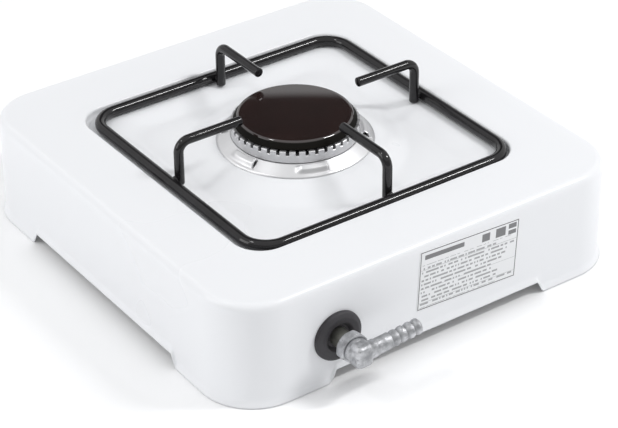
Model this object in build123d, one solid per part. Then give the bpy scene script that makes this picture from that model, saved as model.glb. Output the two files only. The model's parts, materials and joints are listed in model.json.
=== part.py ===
from build123d import *
import math
import os

# A table-top gas stove with one burner.
# Lengths are in millimetres and angles in degrees. +Z is up, +Y is the rear with the gas inlet,
# -Y is the front with the knob, and the origin is on the table under the middle of the casing.

# Shared gaps
overrun = 2.0
rest_gap = 0.3
turn_gap = 0.06
fit_gap = 0.05
hole_gap = 0.3

# Casing, one pressed sheet
casing_width = 280.0
casing_depth = 286.6
casing_height = 68.4
casing_corner_radius = 33.0
casing_top_edge_radius = 5.0
sheet = 0.8
rim_flare = 1.8
rim_flare_height = 5.0
foot_length = 67.0
notch_height = 8.6
notch_end_run = 5.0

# Pan support, a wire frame with four bent prongs, which lies loose in the well towards its left
# and its rear. Two of the prongs are welded a little off the middle of their side.
frame_side = 184.7
frame_wire_diameter = 7.0
frame_corner_radius = 17.0
frame_proud = 1.7
frame_left_gap = 0.4
frame_rear_gap = 0.6
prong_diameter = 6.0
prong_height = 91.5
prong_bend_radius = 7.0
prong_tip_clearance = 3.3
rear_prong_offset = 2.8
left_prong_offset = -3.5
weld_gap = 0.05

# Well in the casing's top, with a ledge for the frame and a hill under the burner
recess_clearance = 1.9
recess_corner_radius = 18.5
ledge_width = 12.4
ledge_corner_radius = 12.0
slope_run = 11.0
floor_corner_radius = 20.0
well_depth = 10.9
hill_height = 7.5
hill_run = 20.0
hill_margin = 1.5

# Burner
trim_run = 5.5
trim_lip = 2.0
trim_shelf = 4.7
trim_height = 5.2
trim_sheet = 0.8
louvre_count = 6
louvre_arc = 27.0
louvre_start = -6.0
louvre_rise = 1.6
louvre_low_share = 0.1
louvre_high_share = 0.86
louvre_shoulder_share = 0.12
crown_overhang = 3.5
crown_height = 7.5
crown_wall = 6.5
crown_floor = 2.5
crown_spigot_length = 5.0
crown_spigot_wall = 2.2
slot_count = 42
slot_start = 5.5
slot_width = 2.2
slot_depth = 2.6
cap_setback = 1.0
cap_bevel = 3.6
cap_skirt = 4.9
cap_dome = 0.5
cap_plate = 2.2
cap_ring_depth = 4.0
cap_ring_wall = 2.5
cup_flange_radius = 46.0
cup_flange_width = 10.0
cup_wall = 2.5
cup_flange = 3.5
cup_depth = 24.3
cup_floor = 3.0
cup_taper = 6.0
cup_shoulder = 4.0
gasket = 0.5
gasket_margin = 0.5
burner_screw_count = 3
burner_screw_edge = 5.2
burner_screw_radius = 1.7
burner_screw_length = 7.0
burner_screw_head_radius = 2.8
burner_screw_head = 1.4
burner_screw_angle = 30.0

# Gas line: valve, injector and mixing tube lie on one axis, at the same height as the inlet
gas_height = 31.0
valve_cover_width = 42.0
valve_cover_height = 22.0
valve_cover_thickness = 2.0
valve_flange = 3.0
valve_radius = 11.0
valve_end_wall = 4.0
valve_outlet_radius = 7.0
valve_outlet_length = 5.0
valve_port_radius = 9.0
valve_port_reach = 22.0
valve_socket_depth = 8.0
valve_way_radius = 2.2
valve_screw_spacing = 30.0
valve_screw_radius = 2.0
valve_screw_head_radius = 3.6
valve_screw_head = 1.5
valve_screw_point = 1.5
cavity_radius = 8.0
cavity_depth = 11.0
plug_large_radius = 7.5
plug_small_radius = 6.0
plug_length = 20.0
plug_port_share = 0.62
plug_slot_depth = 7.0
plug_slot_width = 2.6

spindle_radius = 4.0
spindle_hole_radius = 6.0
spindle_collar_radius = 6.8
spindle_collar = 2.0
spindle_flat = 2.6
spindle_flat_length = 13.0
tongue_width = 6.4
tongue_grip = 3.0
push_travel = 3.0
push_margin = 0.5
spring_radius = 5.4
spring_wire = 0.9
spring_turns = 4
spring_end_gap = 0.2

knob_radius = 20.0
knob_base = 7.0
knob_height = 24.0
knob_gap = 6.0
knob_edge_radius = 1.5
knob_grip_length = 37.0
knob_grip_width = 11.0
knob_cap_wall = 3.0
knob_hollow_radius = 16.5
knob_hollow_depth = 4.0
knob_hub_radius = 8.0
knob_mark_width = 1.6
knob_mark_depth = 0.6
knob_mark_length = 9.0
knob_mark_inset = 2.0
clip_width = 5.0
clip_length = 9.0
clip_thickness = 0.5

injector_shank_radius = 3.5
injector_shank_length = 4.5
injector_across_flats = 12.0
injector_hex = 5.0
injector_nose_radius = 4.5
injector_nose_length = 8.0
injector_tip_radius = 2.5
injector_tip_length = 2.0
injector_way_radius = 2.0
injector_jet_radius = 0.5
injector_jet_length = 1.5
injector_washer = 0.8
injector_washer_radius = 6.0
injector_stand_off = 1.5

mixing_radius = 10.0
mixing_wall = 1.5
mixing_head_radius = 13.0
mixing_head_length = 22.0
mixing_taper_length = 8.0
mixing_bend_radius = 14.0
mixing_lift = 2.0
mixing_rim = 1.2
mixing_rim_rise = 1.5
window_count = 4
window_width = 9.0
window_length = 11.0
window_setback = 7.0
window_angle = 45.0
shutter_wall = 0.8
shutter_length = 17.0
shutter_tab_rise = 6.0
shutter_tab_width = 7.0
shutter_tab = 1.2

inlet_offset = 72.7
pipe_radius = 5.75
pipe_wall = 1.25
pipe_bend_radius = 24.0
pipe_reach = 12.7
pipe_thread_radius = 7.0
pipe_thread_length = 2.2
olive_length = 2.3
olive_radius = 8.6
pipe_nut_across_flats = 22.0
pipe_nut_cover = 7.0
pipe_nut_lip = 3.0
grommet_radius = 15.7
grommet_thickness = 4.0
grommet_edge = 1.8
grommet_crown_radius = 12.6
grommet_hole_radius = 11.5
grommet_back_radius = 13.5
grommet_back = 2.5
grommet_mouth_radius = 8.5
grommet_mouth_depth = 3.0
union_across_flats = 16.8
union_turn = 17.0
union_cover = 2.4
union_lip = 1.8
seal = 1.0
elbow_flange_radius = 6.5
elbow_flange = 1.3
elbow_neck_radius = 5.0
elbow_width = 11.4
elbow_depth = 10.8
elbow_height = 14.2
elbow_edge_radius = 4.0
elbow_collar_step = 0.2
elbow_collar_reach = 9.5
hose_tail_rise = 4.0
hose_tail_length = 40.0
hose_tail_radius = 4.8
hose_groove_radius = 4.1
hose_ridge_count = 4
hose_ridge_pitch = 5.2
hose_ridge_crest = 1.8
hose_bore_radius = 2.8

# Rating label on the rear wall
label_width = 73.0
label_height = 40.0
label_thickness = 0.2
label_offset = -20.8
label_middle_height = 41.3
label_turn = -3.0

# Radii of the burner and of the hill under it, which follow from the cup's flange
cup_radius = cup_flange_radius - cup_flange_width
cup_mouth_radius = cup_radius - cup_wall
cup_floor_radius = cup_radius - cup_taper
burner_hole_radius = cup_radius + hole_gap
burner_screw_circle_radius = cup_flange_radius - burner_screw_edge
crown_radius = cup_radius + crown_overhang
crown_bore_radius = crown_radius - crown_wall
cap_radius = crown_radius - cap_setback
cap_top_radius = cap_radius - cap_bevel
trim_bore_radius = cup_radius + hole_gap
trim_shelf_radius = trim_bore_radius + trim_shelf
trim_radius = trim_shelf_radius + trim_run + trim_lip
hill_top_radius = trim_radius + hill_margin
hill_base_radius = hill_top_radius + hill_run
prong_tip_radius = cap_radius + prong_tip_clearance

# Heights that follow
frame_height = casing_height + frame_proud - frame_wire_diameter / 2
frame_bottom = frame_height - frame_wire_diameter / 2
ledge_height = frame_bottom - rest_gap
recess_side = frame_side + frame_wire_diameter + 2 * recess_clearance
ledge_inner_side = recess_side - 2 * ledge_width
floor_side = ledge_inner_side - 2 * slope_run
well_floor = casing_height - well_depth
hill_top = well_floor + hill_height
shelf_height = hill_top + trim_height
crown_bottom = shelf_height + rest_gap
crown_top = crown_bottom + crown_height
cap_bottom = crown_top + rest_gap
cup_rim = crown_bottom - rest_gap / 2
gasket_bottom = hill_top - sheet - gasket
cup_bottom = cup_rim - cup_depth

# Where the loose pan support lies
frame_shift_x = frame_left_gap - recess_clearance
frame_shift_y = recess_clearance - frame_rear_gap

# Places along Y that follow
front_face = -casing_depth / 2
rear_face = casing_depth / 2
front_inside = front_face + sheet
rear_inside = rear_face - sheet
cover_back = front_inside + valve_cover_thickness
flange_back = cover_back + valve_flange
plug_front = cover_back + cavity_depth
plug_end = plug_front + plug_length
port_place = plug_front + plug_port_share * plug_length
valve_end = plug_end + valve_end_wall
outlet_end = valve_end + valve_outlet_length
injector_seat = outlet_end + injector_washer
injector_hex_end = injector_seat + injector_hex
injector_tip = injector_hex_end + injector_nose_length
head_front = injector_hex_end + injector_stand_off
head_end = head_front + mixing_head_length
taper_end = head_end + mixing_taper_length
shutter_front = head_front + mixing_rim + rest_gap
knob_back = front_face - knob_gap
knob_front = knob_back - knob_height
knob_socket_end = knob_front + knob_cap_wall
spindle_tip = knob_socket_end + rest_gap
spindle_end = plug_front - push_travel - push_margin
collar_front = cover_back + rest_gap
collar_back = collar_front + spindle_collar
pipe_end = rear_face + pipe_reach
union_start = pipe_end - union_cover
seal_end = pipe_end + seal
elbow_flange_front = seal_end + fit_gap
elbow_flange_back = elbow_flange_front + elbow_flange
union_shoulder = elbow_flange_back + rest_gap
union_end = union_shoulder + union_lip
elbow_front = union_end + rest_gap
elbow_place = elbow_front + elbow_depth / 2
elbow_collar_radius = elbow_depth / 2 - elbow_collar_step


def rounded_plate(width, depth, radius, low, high):
    """Upright prism with a rounded rectangular outline, between two heights."""
    return Pos(0, 0, low) * extrude(RectangleRounded(width, depth, radius), high - low)


def turned(*profile):
    """Solid turned about Z from the corners of its half section, each a radius and a height."""
    return revolve(Plane.XZ * Polygon(*profile), Axis.Z)


def rod(radius, low, high):
    """Round bar on the Z axis between two heights."""
    return Pos(0, 0, low) * Cylinder(radius, high - low, align=(Align.CENTER, Align.CENTER, Align.MIN))


def hexagon(across_flats, low, high):
    """Six-sided bar on the Z axis between two heights."""
    outline = RegularPolygon(across_flats / 2, 6, major_radius=False)
    return Pos(0, 0, low) * extrude(outline, high - low)


def on_valve_axis(shape):
    """Lay a shape made on Z along +Y, on the axis of the valve."""
    return Pos(0, 0, gas_height) * Rot(-90, 0, 0) * shape


def on_inlet_axis(shape):
    """Lay a shape made on Z along +Y, on the axis of the gas inlet."""
    return Pos(inlet_offset, 0, gas_height) * Rot(-90, 0, 0) * shape


def on_port_axis(shape):
    """Lay a shape made on Z along +X, on the axis of the valve's side port."""
    return Pos(0, port_place, gas_height) * Rot(0, 90, 0) * shape


def on_frame(turn, shape):
    """Turn a shape made about Z and move it to where the pan support lies in the well."""
    return Pos(frame_shift_x, frame_shift_y, 0) * Rot(0, 0, turn) * shape


def casing_block(inset):
    """Outside of the casing with its flared lower rim, drawn in all round by an inset."""
    width = casing_width - 2 * inset
    depth = casing_depth - 2 * inset
    radius = casing_corner_radius - inset
    body = rounded_plate(width, depth, radius, rim_flare_height, casing_height - inset)
    top_edges = body.faces().sort_by(Axis.Z)[-1].edges()
    body = fillet(top_edges, casing_top_edge_radius - inset)
    foot = RectangleRounded(width + 2 * rim_flare, depth + 2 * rim_flare, radius + rim_flare)
    waist = Pos(0, 0, rim_flare_height) * RectangleRounded(width, depth, radius)
    return body + loft([foot, waist], ruled=True)


def well(inset):
    """Space pressed into the top: a square recess, then a sloping bowl, grown by an inset."""
    side = recess_side + 2 * inset
    low = ledge_height - inset
    recess = rounded_plate(side, side, recess_corner_radius + inset, low, casing_height + overrun)
    ledge = ledge_inner_side + 2 * inset
    floor = floor_side + 2 * inset
    brim = Pos(0, 0, low) * RectangleRounded(ledge, ledge, ledge_corner_radius + inset)
    bed = Pos(0, 0, well_floor - inset) * RectangleRounded(floor, floor, floor_corner_radius + inset)
    return recess + loft([bed, brim], ruled=True)


def hill(inset):
    """Truncated cone that rises from the well's floor under the burner."""
    low = well_floor - inset
    return turned(
        (0, low),
        (hill_base_radius - inset, low),
        (hill_top_radius - inset, hill_top - inset),
        (0, hill_top - inset),
    )


def press_form(inset):
    """Shape of the press tool, drawn in by an inset."""
    return casing_block(inset) - well(inset) + hill(inset)


def notch_cut(width, span):
    """Prism along Y that opens the notches of two facing walls, with the strip above for their lips."""
    half = width / 2 - foot_length
    foot = half + notch_end_run
    lip_top = notch_height + rim_flare_height
    outline = Polygon(
        (-foot, -overrun), (foot, -overrun), (foot, 0), (half, notch_height), (half, lip_top),
        (-half, lip_top), (-half, notch_height), (-foot, 0),
    )
    return extrude(Plane.XZ * outline, span / 2 + rim_flare + overrun, both=True)


def notch_lip(width, wall):
    """Flared lip along a notch's upper edge, for a wall whose outside is at this distance along Y."""
    top = notch_height + rim_flare_height
    flared = wall + rim_flare
    profile = Polygon(
        (wall - sheet, top), (flared - sheet, notch_height), (flared, notch_height), (wall, top)
    )
    return extrude(Plane.YZ * profile, width / 2 - foot_length, both=True)


def burner_screw_places():
    """Places of the burner's screws, round the Z axis."""
    return PolarLocations(burner_screw_circle_radius, burner_screw_count, start_angle=burner_screw_angle)


def valve_screw_places():
    """Places of the valve's two screws, to the left and right of its axis."""
    return GridLocations(valve_screw_spacing, valve_screw_spacing, 2, 1)


def make_casing():
    """The pressed shell with its notches, lips and holes."""
    shell = press_form(0) - press_form(sheet)
    walls = ((0, casing_width, casing_depth), (90, casing_depth, casing_width))
    for turn, width, span in walls:
        shell -= Rot(0, 0, turn) * notch_cut(width, span)
    for turn, width, span in walls:
        for side in (0, 180):
            shell += Rot(0, 0, turn + side) * notch_lip(width, span / 2)
    shell -= rod(burner_hole_radius, well_floor, hill_top + overrun)
    screw_hole = rod(burner_screw_radius + hole_gap, well_floor, hill_top + overrun)
    shell -= [place * screw_hole for place in burner_screw_places()]
    shell -= on_inlet_axis(rod(grommet_hole_radius, rear_inside - overrun, rear_face + overrun))
    front = (front_face - overrun, front_inside + overrun)
    shell -= on_valve_axis(rod(spindle_hole_radius, *front))
    valve_hole = rod(valve_screw_radius + hole_gap, *front)
    shell -= [on_valve_axis(place * valve_hole) for place in valve_screw_places()]
    return shell


def make_label():
    """Thin blank plate on the rear wall."""
    plate = Rot(0, label_turn, 0) * Box(label_width, label_thickness, label_height)
    return Pos(label_offset, rear_face + label_thickness / 2, label_middle_height) * plate


def make_pan_frame():
    """Square wire frame: four straight runs and four quarter rings."""
    half = frame_side / 2
    run = frame_side - 2 * frame_corner_radius
    wire_radius = frame_wire_diameter / 2
    straight = Pos(half, 0, frame_height) * Rot(90, 0, 0) * Cylinder(wire_radius, run)
    section = Plane.XZ * Pos(frame_corner_radius, 0) * Circle(wire_radius)
    centre = half - frame_corner_radius
    corner = Pos(centre, centre, frame_height) * revolve(section, Axis.Z, 90)
    side = straight + corner
    frame = side
    for turn in (90, 180, 270):
        frame += Rot(0, 0, turn) * side
    return on_frame(0, frame)


def make_prong(turn, offset):
    """Wire that stands on the inside of the frame and bends over towards the burner."""
    leg = frame_side / 2 - frame_wire_diameter / 2 - prong_diameter / 2 - weld_gap
    path = FilletPolyline(
        (leg, offset, frame_bottom), (leg, offset, prong_height), (prong_tip_radius, offset, prong_height),
        radius=prong_bend_radius,
    )
    section = Pos(leg, offset, frame_bottom) * Circle(prong_diameter / 2)
    return on_frame(turn, sweep(section, path))


def trim_point(share, lift):
    """Point of the trim ring's cone, a share of the way from its lip to its shelf, lifted along Z."""
    low_radius = trim_radius - trim_lip
    low = hill_top + trim_sheet
    radius = low_radius + share * (trim_shelf_radius - low_radius)
    return (radius, low + share * (shelf_height - low) + lift)


def make_trim_ring():
    """Conical sheet ring with raised louvres that are open at both ends."""
    ring = turned(
        (trim_radius, hill_top),
        (trim_radius, hill_top + trim_sheet),
        trim_point(0, 0),
        trim_point(1, 0),
        (trim_bore_radius, shelf_height),
        (trim_bore_radius, shelf_height - trim_sheet),
        (trim_shelf_radius - trim_sheet / 2, shelf_height - trim_sheet),
        (trim_radius - trim_lip - trim_sheet / 2, hill_top),
    )
    low = louvre_low_share
    high = louvre_high_share
    inner_low = low + louvre_shoulder_share
    inner_high = high - louvre_shoulder_share
    bridge = Polygon(
        trim_point(low, -trim_sheet / 2), trim_point(low, 0),
        trim_point(inner_low, louvre_rise), trim_point(inner_high, louvre_rise),
        trim_point(high, 0), trim_point(high, -trim_sheet / 2),
        trim_point(inner_high, louvre_rise - trim_sheet), trim_point(inner_low, louvre_rise - trim_sheet),
    )
    opening = Polygon(
        trim_point(inner_low, -overrun), trim_point(inner_high, -overrun),
        trim_point(inner_high, overrun / 2), trim_point(inner_low, overrun / 2),
    )
    for index in range(louvre_count):
        turn = Rot(0, 0, louvre_start + index * 360 / louvre_count)
        ring -= turn * revolve(Plane.XZ * opening, Axis.Z, louvre_arc)
    for index in range(louvre_count):
        turn = Rot(0, 0, louvre_start + index * 360 / louvre_count)
        ring += turn * revolve(Plane.XZ * bridge, Axis.Z, louvre_arc)
    return ring


def make_burner_crown():
    """Ring with flame slots in its upper edge and a spigot that drops into the cup."""
    spigot = cup_mouth_radius - hole_gap
    throat = spigot - crown_spigot_wall
    floor = crown_bottom + crown_floor
    spigot_end = crown_bottom - crown_spigot_length
    crown = turned(
        (crown_radius, crown_bottom), (crown_radius, crown_top),
        (crown_bore_radius, crown_top), (crown_bore_radius, floor),
        (throat, floor), (throat, spigot_end), (spigot, spigot_end), (spigot, crown_bottom),
    )
    wall = crown_radius - crown_bore_radius
    middle = (crown_radius + crown_bore_radius) / 2
    slot = Pos(0, 0, crown_top - slot_depth / 2 + overrun / 2) * Box(
        wall + 2 * overrun, slot_width, slot_depth + overrun
    )
    places = PolarLocations(middle, slot_count, start_angle=slot_start)
    return crown - [place * slot for place in places]


def make_burner_cap():
    """Domed disc with a bevelled skirt and a ring below that centres it in the crown."""
    top = cap_bottom + cap_skirt
    ring = crown_bore_radius - hole_gap
    hollow = ring - cap_ring_wall
    ring_end = cap_bottom - cap_ring_depth
    ceiling = cap_bottom + cap_plate
    dome_radius = (cap_top_radius ** 2 + cap_dome ** 2) / (2 * cap_dome)
    half = cap_top_radius / 2
    half_height = top + cap_dome - dome_radius + math.sqrt(dome_radius ** 2 - half ** 2)
    edge = Polyline(
        (0, top + cap_dome), (0, ceiling), (hollow, ceiling), (hollow, ring_end), (ring, ring_end),
        (ring, cap_bottom), (cap_radius, cap_bottom), (cap_top_radius, top),
    )
    dome = ThreePointArc((cap_top_radius, top), (half, half_height), (0, top + cap_dome))
    return revolve(Plane.XZ * make_face(edge + dome), Axis.Z)


def make_burner_cup():
    """Cast cup under the well: a spigot through the hole, a flange below the sheet and a bowl."""
    flange_low = gasket_bottom - cup_flange
    floor_top = cup_bottom + cup_floor
    neck = mixing_radius + fit_gap
    cup = turned(
        (cup_mouth_radius, cup_rim), (cup_radius, cup_rim), (cup_radius, gasket_bottom),
        (cup_flange_radius, gasket_bottom), (cup_flange_radius, flange_low), (cup_radius, flange_low),
        (cup_radius, cup_bottom + cup_shoulder), (cup_floor_radius, cup_bottom), (neck, cup_bottom),
        (neck, floor_top), (cup_floor_radius - cup_wall, floor_top),
        (cup_mouth_radius, floor_top + cup_shoulder),
    )
    tapped = rod(burner_screw_radius + fit_gap, flange_low - overrun, gasket_bottom + overrun)
    return cup - [place * tapped for place in burner_screw_places()]


def make_burner_gasket():
    """Flat ring between the cup's flange and the sheet."""
    outer = cup_flange_radius - gasket_margin
    ring = rod(outer, gasket_bottom, gasket_bottom + gasket)
    ring -= rod(burner_hole_radius, gasket_bottom - overrun, hill_top)
    hole = rod(burner_screw_radius + hole_gap, gasket_bottom - overrun, hill_top)
    return ring - [place * hole for place in burner_screw_places()]


def make_burner_screws():
    """Screws that pull the cup's flange up against the sheet, with their heads under the trim ring."""
    screw = rod(burner_screw_radius, hill_top - burner_screw_length, hill_top)
    screw += rod(burner_screw_head_radius, hill_top, hill_top + burner_screw_head)
    return Compound(children=[place * screw for place in burner_screw_places()])


def window_cut(radius, depth):
    """Windows through a sleeve of this outer radius, along the mixing tube's head."""
    low = head_front + window_setback
    block = Pos(0, 0, low + window_length / 2) * Box(2 * depth, window_width, window_length)
    places = PolarLocations(radius, window_count, start_angle=window_angle)
    return [place * block for place in places]


def make_mixing_tube():
    """Tube that draws in air at its windowed head and turns up into the cup's floor."""
    head_bore = mixing_head_radius - mixing_wall
    bore = mixing_radius - mixing_wall
    nose_hole = injector_nose_radius + hole_gap
    rim = mixing_head_radius + mixing_rim_rise
    head = turned(
        (nose_hole, head_front), (rim, head_front), (rim, head_front + mixing_rim),
        (mixing_head_radius, head_front + mixing_rim), (mixing_head_radius, head_end),
        (mixing_radius, taper_end), (bore, taper_end), (head_bore, head_end),
        (head_bore, head_front + mixing_wall), (nose_hole, head_front + mixing_wall),
    )
    head -= window_cut(mixing_head_radius, mixing_wall * 2)
    top = cup_bottom + cup_floor + mixing_lift
    path = FilletPolyline(
        (0, taper_end, gas_height), (0, 0, gas_height), (0, 0, top), radius=mixing_bend_radius
    )
    start = Plane((0, taper_end, gas_height), z_dir=(0, 1, 0))
    bend = sweep(start * Circle(mixing_radius), path) - sweep(start * Circle(bore), path)
    return on_valve_axis(head) + bend


def make_air_shutter():
    """Sleeve that turns on the mixing tube's head and covers its windows, with a finger tab."""
    inner = mixing_head_radius + turn_gap
    outer = inner + shutter_wall
    end = shutter_front + shutter_length
    sleeve = rod(outer, shutter_front, end)
    tab_length = shutter_tab_rise + shutter_wall
    tab = Pos(0, -outer - shutter_tab_rise / 2 + shutter_wall / 2, end - shutter_tab / 2) * Box(
        shutter_tab_width, tab_length, shutter_tab
    )
    sleeve = sleeve + tab - rod(inner, shutter_front - overrun, end + overrun)
    return on_valve_axis(sleeve - window_cut(outer, shutter_wall * 2))


def make_injector():
    """Hexagonal jet holder screwed into the valve's outlet."""
    start = outlet_end - injector_shank_length
    tip = injector_tip - injector_tip_length
    jet = rod(injector_shank_radius, start, injector_seat)
    jet += hexagon(injector_across_flats, injector_seat, injector_hex_end)
    jet += turned(
        (0, injector_hex_end), (injector_nose_radius, injector_hex_end), (injector_nose_radius, tip),
        (injector_tip_radius, injector_tip), (0, injector_tip),
    )
    jet -= rod(injector_way_radius, start - overrun, injector_tip - injector_jet_length)
    jet -= rod(injector_jet_radius, start, injector_tip + overrun)
    return on_valve_axis(jet)


def make_injector_washer():
    """Ring between the injector and the valve's outlet."""
    ring = rod(injector_washer_radius, outlet_end, injector_seat)
    ring -= rod(injector_shank_radius + fit_gap, outlet_end - overrun, injector_seat + overrun)
    return on_valve_axis(ring)


def valve_plate(low, high):
    """Flat plate across the valve's axis, as wide as its cover."""
    return Pos(0, 0, low) * extrude(Rectangle(valve_cover_width, valve_cover_height), high - low)


def make_valve_body():
    """Body with a flange, a tapered seat for the plug, a side port and an outlet."""
    body = valve_plate(cover_back, flange_back)
    body += rod(valve_radius, cover_back, valve_end)
    body += rod(valve_outlet_radius, valve_end, outlet_end)
    body = on_valve_axis(body) + on_port_axis(rod(valve_port_radius, 0, valve_port_reach))
    seat_large = plug_large_radius + turn_gap
    seat_small = plug_small_radius + turn_gap
    space = turned(
        (0, cover_back - overrun), (cavity_radius, cover_back - overrun), (cavity_radius, plug_front),
        (seat_large, plug_front), (seat_small, plug_end), (0, plug_end),
    )
    space += rod(valve_way_radius, plug_front, outlet_end)
    space += rod(injector_shank_radius + fit_gap, valve_end, outlet_end + overrun)
    tapped = rod(valve_screw_radius + fit_gap, cover_back - overrun, flange_back + overrun)
    space += [place * tapped for place in valve_screw_places()]
    socket = rod(valve_way_radius, 0, valve_port_reach)
    socket += rod(pipe_radius + fit_gap, valve_port_reach - valve_socket_depth, valve_port_reach + overrun)
    return body - on_valve_axis(space) - on_port_axis(socket)


def make_valve_cover():
    """Plate that closes the valve and lies against the front wall."""
    plate = valve_plate(front_inside, cover_back)
    plate -= rod(spindle_radius + turn_gap, front_inside - overrun, cover_back + overrun)
    hole = rod(valve_screw_radius + hole_gap, front_inside - overrun, cover_back + overrun)
    return on_valve_axis(plate - [place * hole for place in valve_screw_places()])


def make_valve_screws():
    """Screws from outside the front wall into the valve's flange."""
    screw = rod(valve_screw_radius, front_face, flange_back + valve_screw_point)
    screw += rod(valve_screw_head_radius, front_face - valve_screw_head, front_face)
    return Compound(children=[on_valve_axis(place * screw) for place in valve_screw_places()])


def make_valve_plug():
    """Tapered plug with a slot for the spindle and a way for the gas, shut at rest."""
    plug = turned(
        (0, plug_front + fit_gap), (plug_large_radius, plug_front + fit_gap),
        (plug_small_radius, plug_end - fit_gap), (0, plug_end - fit_gap),
    )
    slot_length = 2 * (plug_large_radius + overrun)
    slot = Box(slot_length, plug_slot_width, plug_slot_depth + overrun)
    plug -= Pos(0, 0, plug_front + (plug_slot_depth - overrun) / 2) * slot
    plug -= rod(valve_way_radius, port_place, plug_end + overrun)
    plug = on_valve_axis(plug)
    side_way = rod(valve_way_radius, 0, plug_large_radius + overrun)
    return plug - Pos(0, port_place, gas_height) * Rot(180, 0, 0) * side_way


def make_plug_spring():
    """Coil between the plug and the spindle's collar, on pairs of tangent arcs."""
    low = collar_back + spring_end_gap + spring_wire / 2
    high = plug_front - spring_end_gap - spring_wire / 2
    climb = (high - low) / (360 * spring_turns)
    step = 90
    arcs = []
    slope = math.degrees(1) * climb
    for start in range(0, 360 * spring_turns, step):
        ends = []
        for angle in (start, start + step):
            turn = math.radians(angle)
            place = Vector(
                spring_radius * math.cos(turn), spring_radius * math.sin(turn), low + climb * angle
            )
            heading = Vector(-spring_radius * math.sin(turn), spring_radius * math.cos(turn), slope)
            ends.append((place, heading.normalized()))
        (first, first_heading), (last, last_heading) = ends
        chord = last - first
        lean = chord.dot(first_heading + last_heading)
        spread = 1 - first_heading.dot(last_heading)
        reach = (math.sqrt(lean ** 2 + 2 * spread * chord.dot(chord)) - lean) / (2 * spread)
        joint = (first + first_heading * reach + last - last_heading * reach) * 0.5
        joint_heading = (last - last_heading * reach - first - first_heading * reach).normalized()
        arcs.append(TangentArc(first, joint, tangent=first_heading))
        arcs.append(TangentArc(joint, last, tangent=joint_heading))
    path = Wire(arcs)
    section = Plane(path @ 0, z_dir=path % 0) * Circle(spring_wire / 2)
    print("plug spring, least gap between turns:", round(climb * 360 - spring_wire, 2))
    return on_valve_axis(sweep(section, path))


def make_spindle():
    """Shaft with a collar inside the cover, a tongue in the plug's slot and a flat for the knob."""
    shaft = rod(spindle_radius, spindle_tip, spindle_end)
    shaft += rod(spindle_collar_radius, collar_front, collar_back)
    tongue_end = plug_front + tongue_grip
    tongue_thickness = plug_slot_width - 2 * fit_gap
    tongue = Box(tongue_width, tongue_thickness, tongue_end - spindle_end)
    shaft += Pos(0, 0, (tongue_end + spindle_end) / 2) * tongue
    depth = spindle_radius - spindle_flat + overrun
    cut = Box(2 * spindle_radius + overrun, depth, spindle_flat_length + overrun)
    middle = spindle_tip + (spindle_flat_length - overrun) / 2
    return on_valve_axis(shaft - Pos(0, -spindle_flat - depth / 2, middle) * cut)


def make_knob():
    """Round base with a bar grip, hollow behind, with a flatted socket for the spindle."""
    base_front = knob_back - knob_base
    base = rod(knob_radius, base_front, knob_back)
    base = fillet(base.edges().sort_by(Axis.Z)[0], knob_edge_radius)
    grip_end = base_front + knob_edge_radius
    grip_outline = SlotOverall(knob_grip_length, knob_grip_width, rotation=90)
    grip = Pos(0, 0, knob_front) * extrude(grip_outline, grip_end - knob_front)
    grip = fillet(grip.faces().sort_by(Axis.Z)[0].edges(), knob_edge_radius)
    knob = base + grip
    hollow = rod(knob_hollow_radius, knob_back - knob_hollow_depth, knob_back + overrun)
    knob -= hollow - rod(knob_hub_radius, knob_back - knob_hollow_depth - overrun, knob_back + 2 * overrun)
    bore_radius = spindle_radius + fit_gap
    flat = spindle_flat + clip_thickness + 2 * fit_gap
    flat_depth = bore_radius - flat + overrun
    bore = rod(bore_radius, knob_socket_end, knob_back + overrun)
    flat_low = knob_socket_end - overrun
    flat_length = spindle_tip + spindle_flat_length - flat_low
    land = Box(2 * bore_radius + overrun, flat_depth, flat_length)
    knob -= bore - Pos(0, -flat - flat_depth / 2, flat_low + flat_length / 2) * land
    mark = Box(knob_mark_width, knob_mark_length, knob_mark_depth + overrun)
    mark_place = knob_mark_inset + knob_mark_length / 2 - knob_grip_length / 2
    knob -= Pos(0, mark_place, knob_front + (knob_mark_depth - overrun) / 2) * mark
    return on_valve_axis(knob)


def make_knob_clip():
    """Leaf between the spindle's flat and the knob's socket."""
    leaf = Box(clip_width, clip_thickness, clip_length)
    middle = spindle_tip + spindle_flat_length / 2
    return on_valve_axis(Pos(0, -spindle_flat - fit_gap - clip_thickness / 2, middle) * leaf)


def make_gas_pipe():
    """Pipe from the valve's side port, round a bend and out through the rear wall."""
    start = Vector(valve_port_reach - valve_socket_depth, port_place, gas_height)
    path = FilletPolyline(
        start, (inlet_offset, port_place, gas_height), (inlet_offset, pipe_end, gas_height),
        radius=pipe_bend_radius,
    )
    plane = Plane(start, z_dir=(1, 0, 0))
    pipe = sweep(plane * Circle(pipe_radius), path)
    pipe += on_inlet_axis(rod(pipe_thread_radius, pipe_end - pipe_thread_length, pipe_end))
    return pipe - sweep(plane * Circle(pipe_radius - pipe_wall), path)


def make_pipe_nut():
    """Nut that presses the olive against the valve's side port."""
    shoulder = valve_port_reach + olive_length
    end = shoulder + pipe_nut_lip
    start = valve_port_reach - pipe_nut_cover
    nut = hexagon(pipe_nut_across_flats, start, end)
    nut -= rod(valve_port_radius + fit_gap, start - overrun, shoulder)
    return on_port_axis(nut - rod(pipe_radius + hole_gap, start, end + overrun))


def make_pipe_olive():
    """Soft ring squeezed between the port, the nut and the pipe."""
    end = valve_port_reach + olive_length
    ring = rod(olive_radius, valve_port_reach, end)
    return on_port_axis(ring - rod(pipe_radius + fit_gap, valve_port_reach - overrun, end + overrun))


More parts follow.
